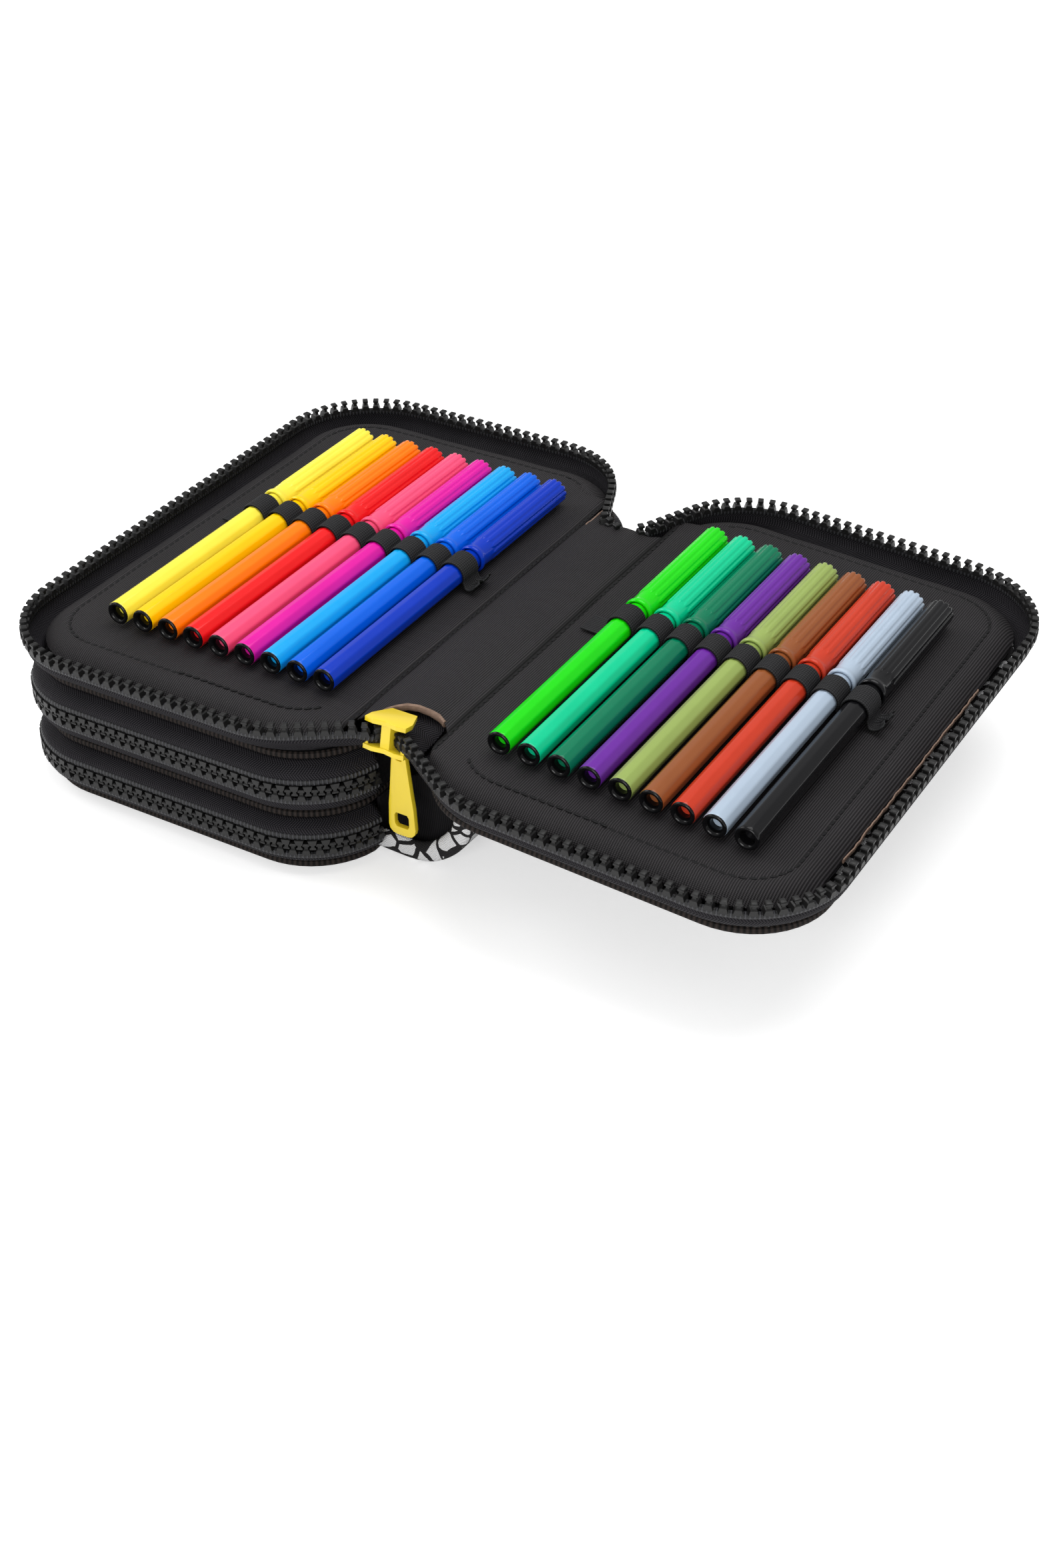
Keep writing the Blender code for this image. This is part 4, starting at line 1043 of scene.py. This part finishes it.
def makePouch():
    nearY, farY, steps = pouch["nearY"], pouch["farY"], pouch["steps"]
    rows = [pouchLine(-inward, nearY + forward) for forward, inward in reversed(pouch["hem"])]
    for step in range(steps + 1):
        sag = pouch["sag"] * math.sin(math.pi * step / steps)
        rows.append(pouchLine(0.0, nearY + 2 + (farY - nearY - 2) * step / steps, sag))
    bm = clothGrid(rows)
    flatWidth, flatLength = flatSize(bm, [row[8] for row in rows])
    cloth = newPiece("spineCoverCloth", bm, finishes["cover"], onStack, 60)
    soften(cloth)
    thicken(cloth, pouch["thickness"] * mm)
    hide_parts("spine_cover")
    start, taper = gussetShape["inset"]
    middleX, middleBehind, middleZ = gussetShape["middle"]
    middle = Vector((middleX, nearY + middleBehind, middleZ))
    rows = []
    for step in range(gussetShape["steps"] + 1):
        share = step / gussetShape["steps"]
        bulge = Vector((0, gussetShape["bulge"] * math.sin(math.pi * share), 0))
        outline = pouchLine(start - taper * share, nearY + gussetShape["behind"])
        rows.append([point.lerp(middle, share) + bulge for point in outline])
    bm = clothGrid(rows)
    gusset = newPiece("spineGusset", bm, finishes["board"], onStack, 60)
    thicken(gusset, gussetShape["thickness"] * mm)
    # the blank's sides are a guess, and its area was set to what this mesh measures
    for piece in (cloth, gusset):
        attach(piece, "bottom_case")
        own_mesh(piece)


# the zips' sliders: their places, and how the open one's plates and the tabs differ from the model (mm)
onFarSide = Matrix(((0, -1, 0), (0, 0, -1), (1, 0, 0))).to_4x4()
sliders = {
    "places": {
        "top": Matrix.Translation((75.25, -75.0, 47.8)),
        "middle": Matrix.Translation((26, 101.0, 31.1)) @ onFarSide,
        "bottom": Matrix.Translation((26, 101.0, 10.7)) @ onFarSide},
    "crossbar": (0, -2.2, -2.75), "nearEnd": (-8.5, 8.9), "plate": -1.6, "shorter": 0.62, "tilt": 13,
    "lift": 0.7, "tabSides": ((0, 2.1), (5, 2.2), (9, 3.1), (16, 3.8), (22, 4.5), (33, 5.0)), "tabEnd": 5.2,
    "slot": (24, 31), "rounding": 0.3,
}


def tiltSlider(spot):
    # the open slider's plates are short and stand nose up, its bridge stays level
    if spot.z < sliders["plate"]:
        return spot
    nearY, top = sliders["nearEnd"]
    turn = Matrix.Rotation(-math.radians(sliders["tilt"]), 3, "X")
    arm = Vector((spot.x, (spot.y - nearY) * sliders["shorter"], spot.z - top))
    return turn @ arm + Vector((0, nearY, top + sliders["lift"]))


def straightenTab(spot):
    # sides that widen evenly from the eye to the end, and a squarer slot
    down = -spot.z
    low, high = sliders["slot"]
    if low < down < high and abs(spot.x) < 2.8:
        middle = (low + high) / 2 - 0.1
        across = 2.6 if abs(spot.x) > 2 else 2.0
        along = 2.1 if abs(spot.x) > 2 else 2.6
        step = math.copysign(along, down - middle)
        share = 1.0 if abs(spot.x) < 2 else 0.76
        return Vector((math.copysign(across, spot.x), spot.y, -middle - step * share))
    if abs(spot.x) < 1.9 and down < 8:
        return spot
    sides = sliders["tabSides"]
    for (fromDown, fromWidth), (toDown, toWidth) in zip(sides, sides[1:]):
        if down <= toDown + 0.01:
            break
    share = min(1.0, max(0.0, (down - fromDown) / (toDown - fromDown)))
    wide = fromWidth + (toWidth - fromWidth) * share
    was = {9: 2.1, 16: 4.47, 22: 5.2}.get(round(down), 2.1 if down < 9 else sliders["tabEnd"])
    return Vector((spot.x * wide / was, spot.y, spot.z))


def makeHardware(nodeName, place, reshape):
    # the model's own solid, merged and reshaped, with its flat faces joined and its edges rounded
    bm = bmesh.new()
    bm.from_mesh(frame["nodes"][nodeName].data)
    inner = place.inverted() @ Matrix.Diagonal((1 / mm, 1 / mm, 1 / mm, 1))
    bmesh.ops.transform(bm, matrix=inner, verts=bm.verts)
    bmesh.ops.remove_doubles(bm, verts=bm.verts, dist=0.02)
    bmesh.ops.dissolve_limit(bm, angle_limit=math.radians(2), verts=bm.verts, edges=bm.edges)
    for vert in bm.verts:
        vert.co = reshape(vert.co.copy())
    inside = [edge for edge in bm.edges if len(edge.link_faces) == 2]
    edges = [edge for edge in inside if edge.calc_face_angle() > math.radians(25)]
    bmesh.ops.bevel(
        bm, geom=edges, offset=sliders["rounding"], offset_type="OFFSET", segments=3, profile=0.5,
        affect="EDGES", material=-1, clamp_overlap=True)
    piece = newPiece(nodeName + "Enamel", bm, finishes["enamel"], onStack @ place, 35)
    bodies = frame["record"]["behaviour"]["bodies"]
    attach(piece, next(name for name, nodes in bodies.items() if nodeName in nodes))
    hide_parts(nodeName)


finishes = makeFinishes()
print("finishes made")
toothTemplate = toothMesh()
stitchTemplate = stitchMesh()
makeZips()
makeCover("bottomCoverCloth", "bottom_case", onStack, "bottom_cover", 0.0, 2.4, 0.0)
makeCover("lidCoverCloth", "lid", onLid, "lid_cover", -1.6, 0.8, 1.2)
makeRope("lowerDividerEdge", "lower_leaf", onStack, 20.2, 1.0)
makeRope("upperDividerEdge", "upper_leaf", onDivider, 0.0, 1.0)
makeLining("dividerLiningCloth", "divider_panel", onDivider, "divider_lining")
makeLining("lidLiningCloth", "lid_panel", onLid, "lid_lining")
makeRawEdge("spineRim", "divider_panel", onDivider, [Vector((62.9, y, 9.4)) for y in range(58, 75)], 2.6)
makeRawEdge("lidRim", "lid", onLid, [Vector((-62.3, y, 7.4)) for y in range(-60, 42)], 2.0)
makeTapeEnd()
makeSpineCloth()
makePouch()
print("cloth made")
makePens(leftColours, pen["left"], dividerFold, 0.0)
makePens(lidColours, pen["lid"], lidPlace, 5.0)
print("pens made")
makeBand("dividerBand", pen["left"], dividerFold, "divider_panel", "divider_loops")
makeBand("lidBand", pen["lid"], lidPlace, "lid_panel", "lid_loops")
for nodeName in ("lower_divider", "upper_divider", "bottom_spine", "middle_spine"):
    frame["nodes"][nodeName].data.materials.clear()
    frame["nodes"][nodeName].data.materials.append(finishes["board"])
for which, place in sliders["places"].items():
    level = which == "top"
    makeHardware(which + "_slider", place, tiltSlider if level else lambda spot: spot)
    swing = Matrix.Rotation(0 if level else math.pi / 2, 4, "X")
    hang = place @ Matrix.Translation(sliders["crossbar"]) @ swing
    makeHardware(which + "_pull_tab", hang, straightenTab)
print("sliders made")


studio = {
    "cameraPlace": (0.398586, -0.532322, 0.426085), "cameraTurn": (2.12915, 0.58088, -0.32065),
    "focal": 51.608, "sky": 0.5, "floorGlow": 1.0, "glowNear": 0.5, "glowFrom": 0.35, "glowTo": 0.9,
    "lamps": (
        ("overhead", (0.15, 0.35, 1.5), (0, 0, 0), 1.3, 13.0),
        ("window", (-1.3, -0.2, 1.1), (0.05, 0, 0.03), 0.9, 9.0),
        ("front", (0.5, -1.5, 0.7), (0.05, 0, 0.03), 0.9, 11.0),
    ),
}


def makeStudio():
    turn = Vector(studio["cameraTurn"])
    rows = Matrix.Rotation(turn.length, 3, turn.normalized())
    right, down, forward = rows[0], rows[1], rows[2]
    data = bpy.data.cameras.new("camera")
    data.lens = studio["focal"]
    data.sensor_width = 36
    data.clip_end = 20
    camera = bpy.data.objects.new("camera", data)
    bpy.context.scene.collection.objects.link(camera)
    camera.matrix_world = Matrix.Translation(studio["cameraPlace"]) @ Matrix((
        (right.x, -down.x, -forward.x), (right.y, -down.y, -forward.y),
        (right.z, -down.z, -forward.z))).to_4x4()
    bpy.context.scene.camera = camera
    for name, spot, target, size, power in studio["lamps"]:
        lamp = bpy.data.lights.new(name, "AREA")
        lamp.shape = "DISK"
        lamp.size = size
        lamp.energy = power
        holder = bpy.data.objects.new(name, lamp)
        bpy.context.scene.collection.objects.link(holder)
        holder.location = spot
        holder.rotation_euler = (Vector(target) - Vector(spot)).to_track_quat("-Z", "Y").to_euler()

    # floor: pale, and to the camera it also glows, more so away from the case; the weaker glow near the case
    # is painted shade round it
    bm = bmesh.new()
    bmesh.ops.create_circle(bm, cap_ends=True, segments=96, radius=6)
    paint = Finish(
        "paleFloor", (0.75, 0.75, 0.75), 0.9, Specular_IOR_Level=0.1, Emission_Strength=studio["floorGlow"])
    rays = paint.tree.nodes.new("ShaderNodeLightPath")
    seen = Wire(paint, rays.outputs["Is Camera Ray"]) + Wire(paint, rays.outputs["Is Glossy Ray"])
    where, across, along, _ = paint.place()
    away = (across ** 2.0 + along ** 2.0) ** 0.5
    # painted shade round the case: near it the floor's glow falls to half
    far = paint.node("ShaderNodeMapRange", {"interpolation_type": "SMOOTHSTEP"}, {
        "Value": away, "From Min": studio["glowFrom"], "From Max": studio["glowTo"],
        "To Min": studio["glowNear"], "To Max": 1.0})
    grain = paint.specks(where, 3.0)
    paint.feed("Base Color", paint.mix(grain, (0.74, 0.74, 0.74), (0.77, 0.77, 0.77)))
    paint.feed("Emission Color", paint.mix(seen * far, (0, 0, 0), (1, 1, 1)))
    newPiece("studioFloor", bm, paint.material)

    world = bpy.data.worlds.new("sky")
    bpy.context.scene.world = world
    world.use_nodes = True
    tree = world.node_tree
    tree.nodes.clear()
    out = tree.nodes.new("ShaderNodeOutputWorld")
    plain, white = (tree.nodes.new("ShaderNodeBackground") for _ in range(2))
    for background, strength in ((plain, studio["sky"]), (white, 1)):
        background.inputs["Color"].default_value = (1, 1, 1, 1)
        background.inputs["Strength"].default_value = strength
    path = tree.nodes.new("ShaderNodeLightPath")
    either = tree.nodes.new("ShaderNodeMath")
    either.operation = "MAXIMUM"
    mixer = tree.nodes.new("ShaderNodeMixShader")
    tree.links.new(path.outputs["Is Camera Ray"], either.inputs[0])
    tree.links.new(path.outputs["Is Transmission Ray"], either.inputs[1])
    tree.links.new(either.outputs[0], mixer.inputs[0])
    tree.links.new(plain.outputs[0], mixer.inputs[1])
    tree.links.new(white.outputs[0], mixer.inputs[2])
    tree.links.new(mixer.outputs[0], out.inputs[0])
    bpy.context.scene.view_settings.view_transform = "Standard"
    print("studio made")


makeStudio()
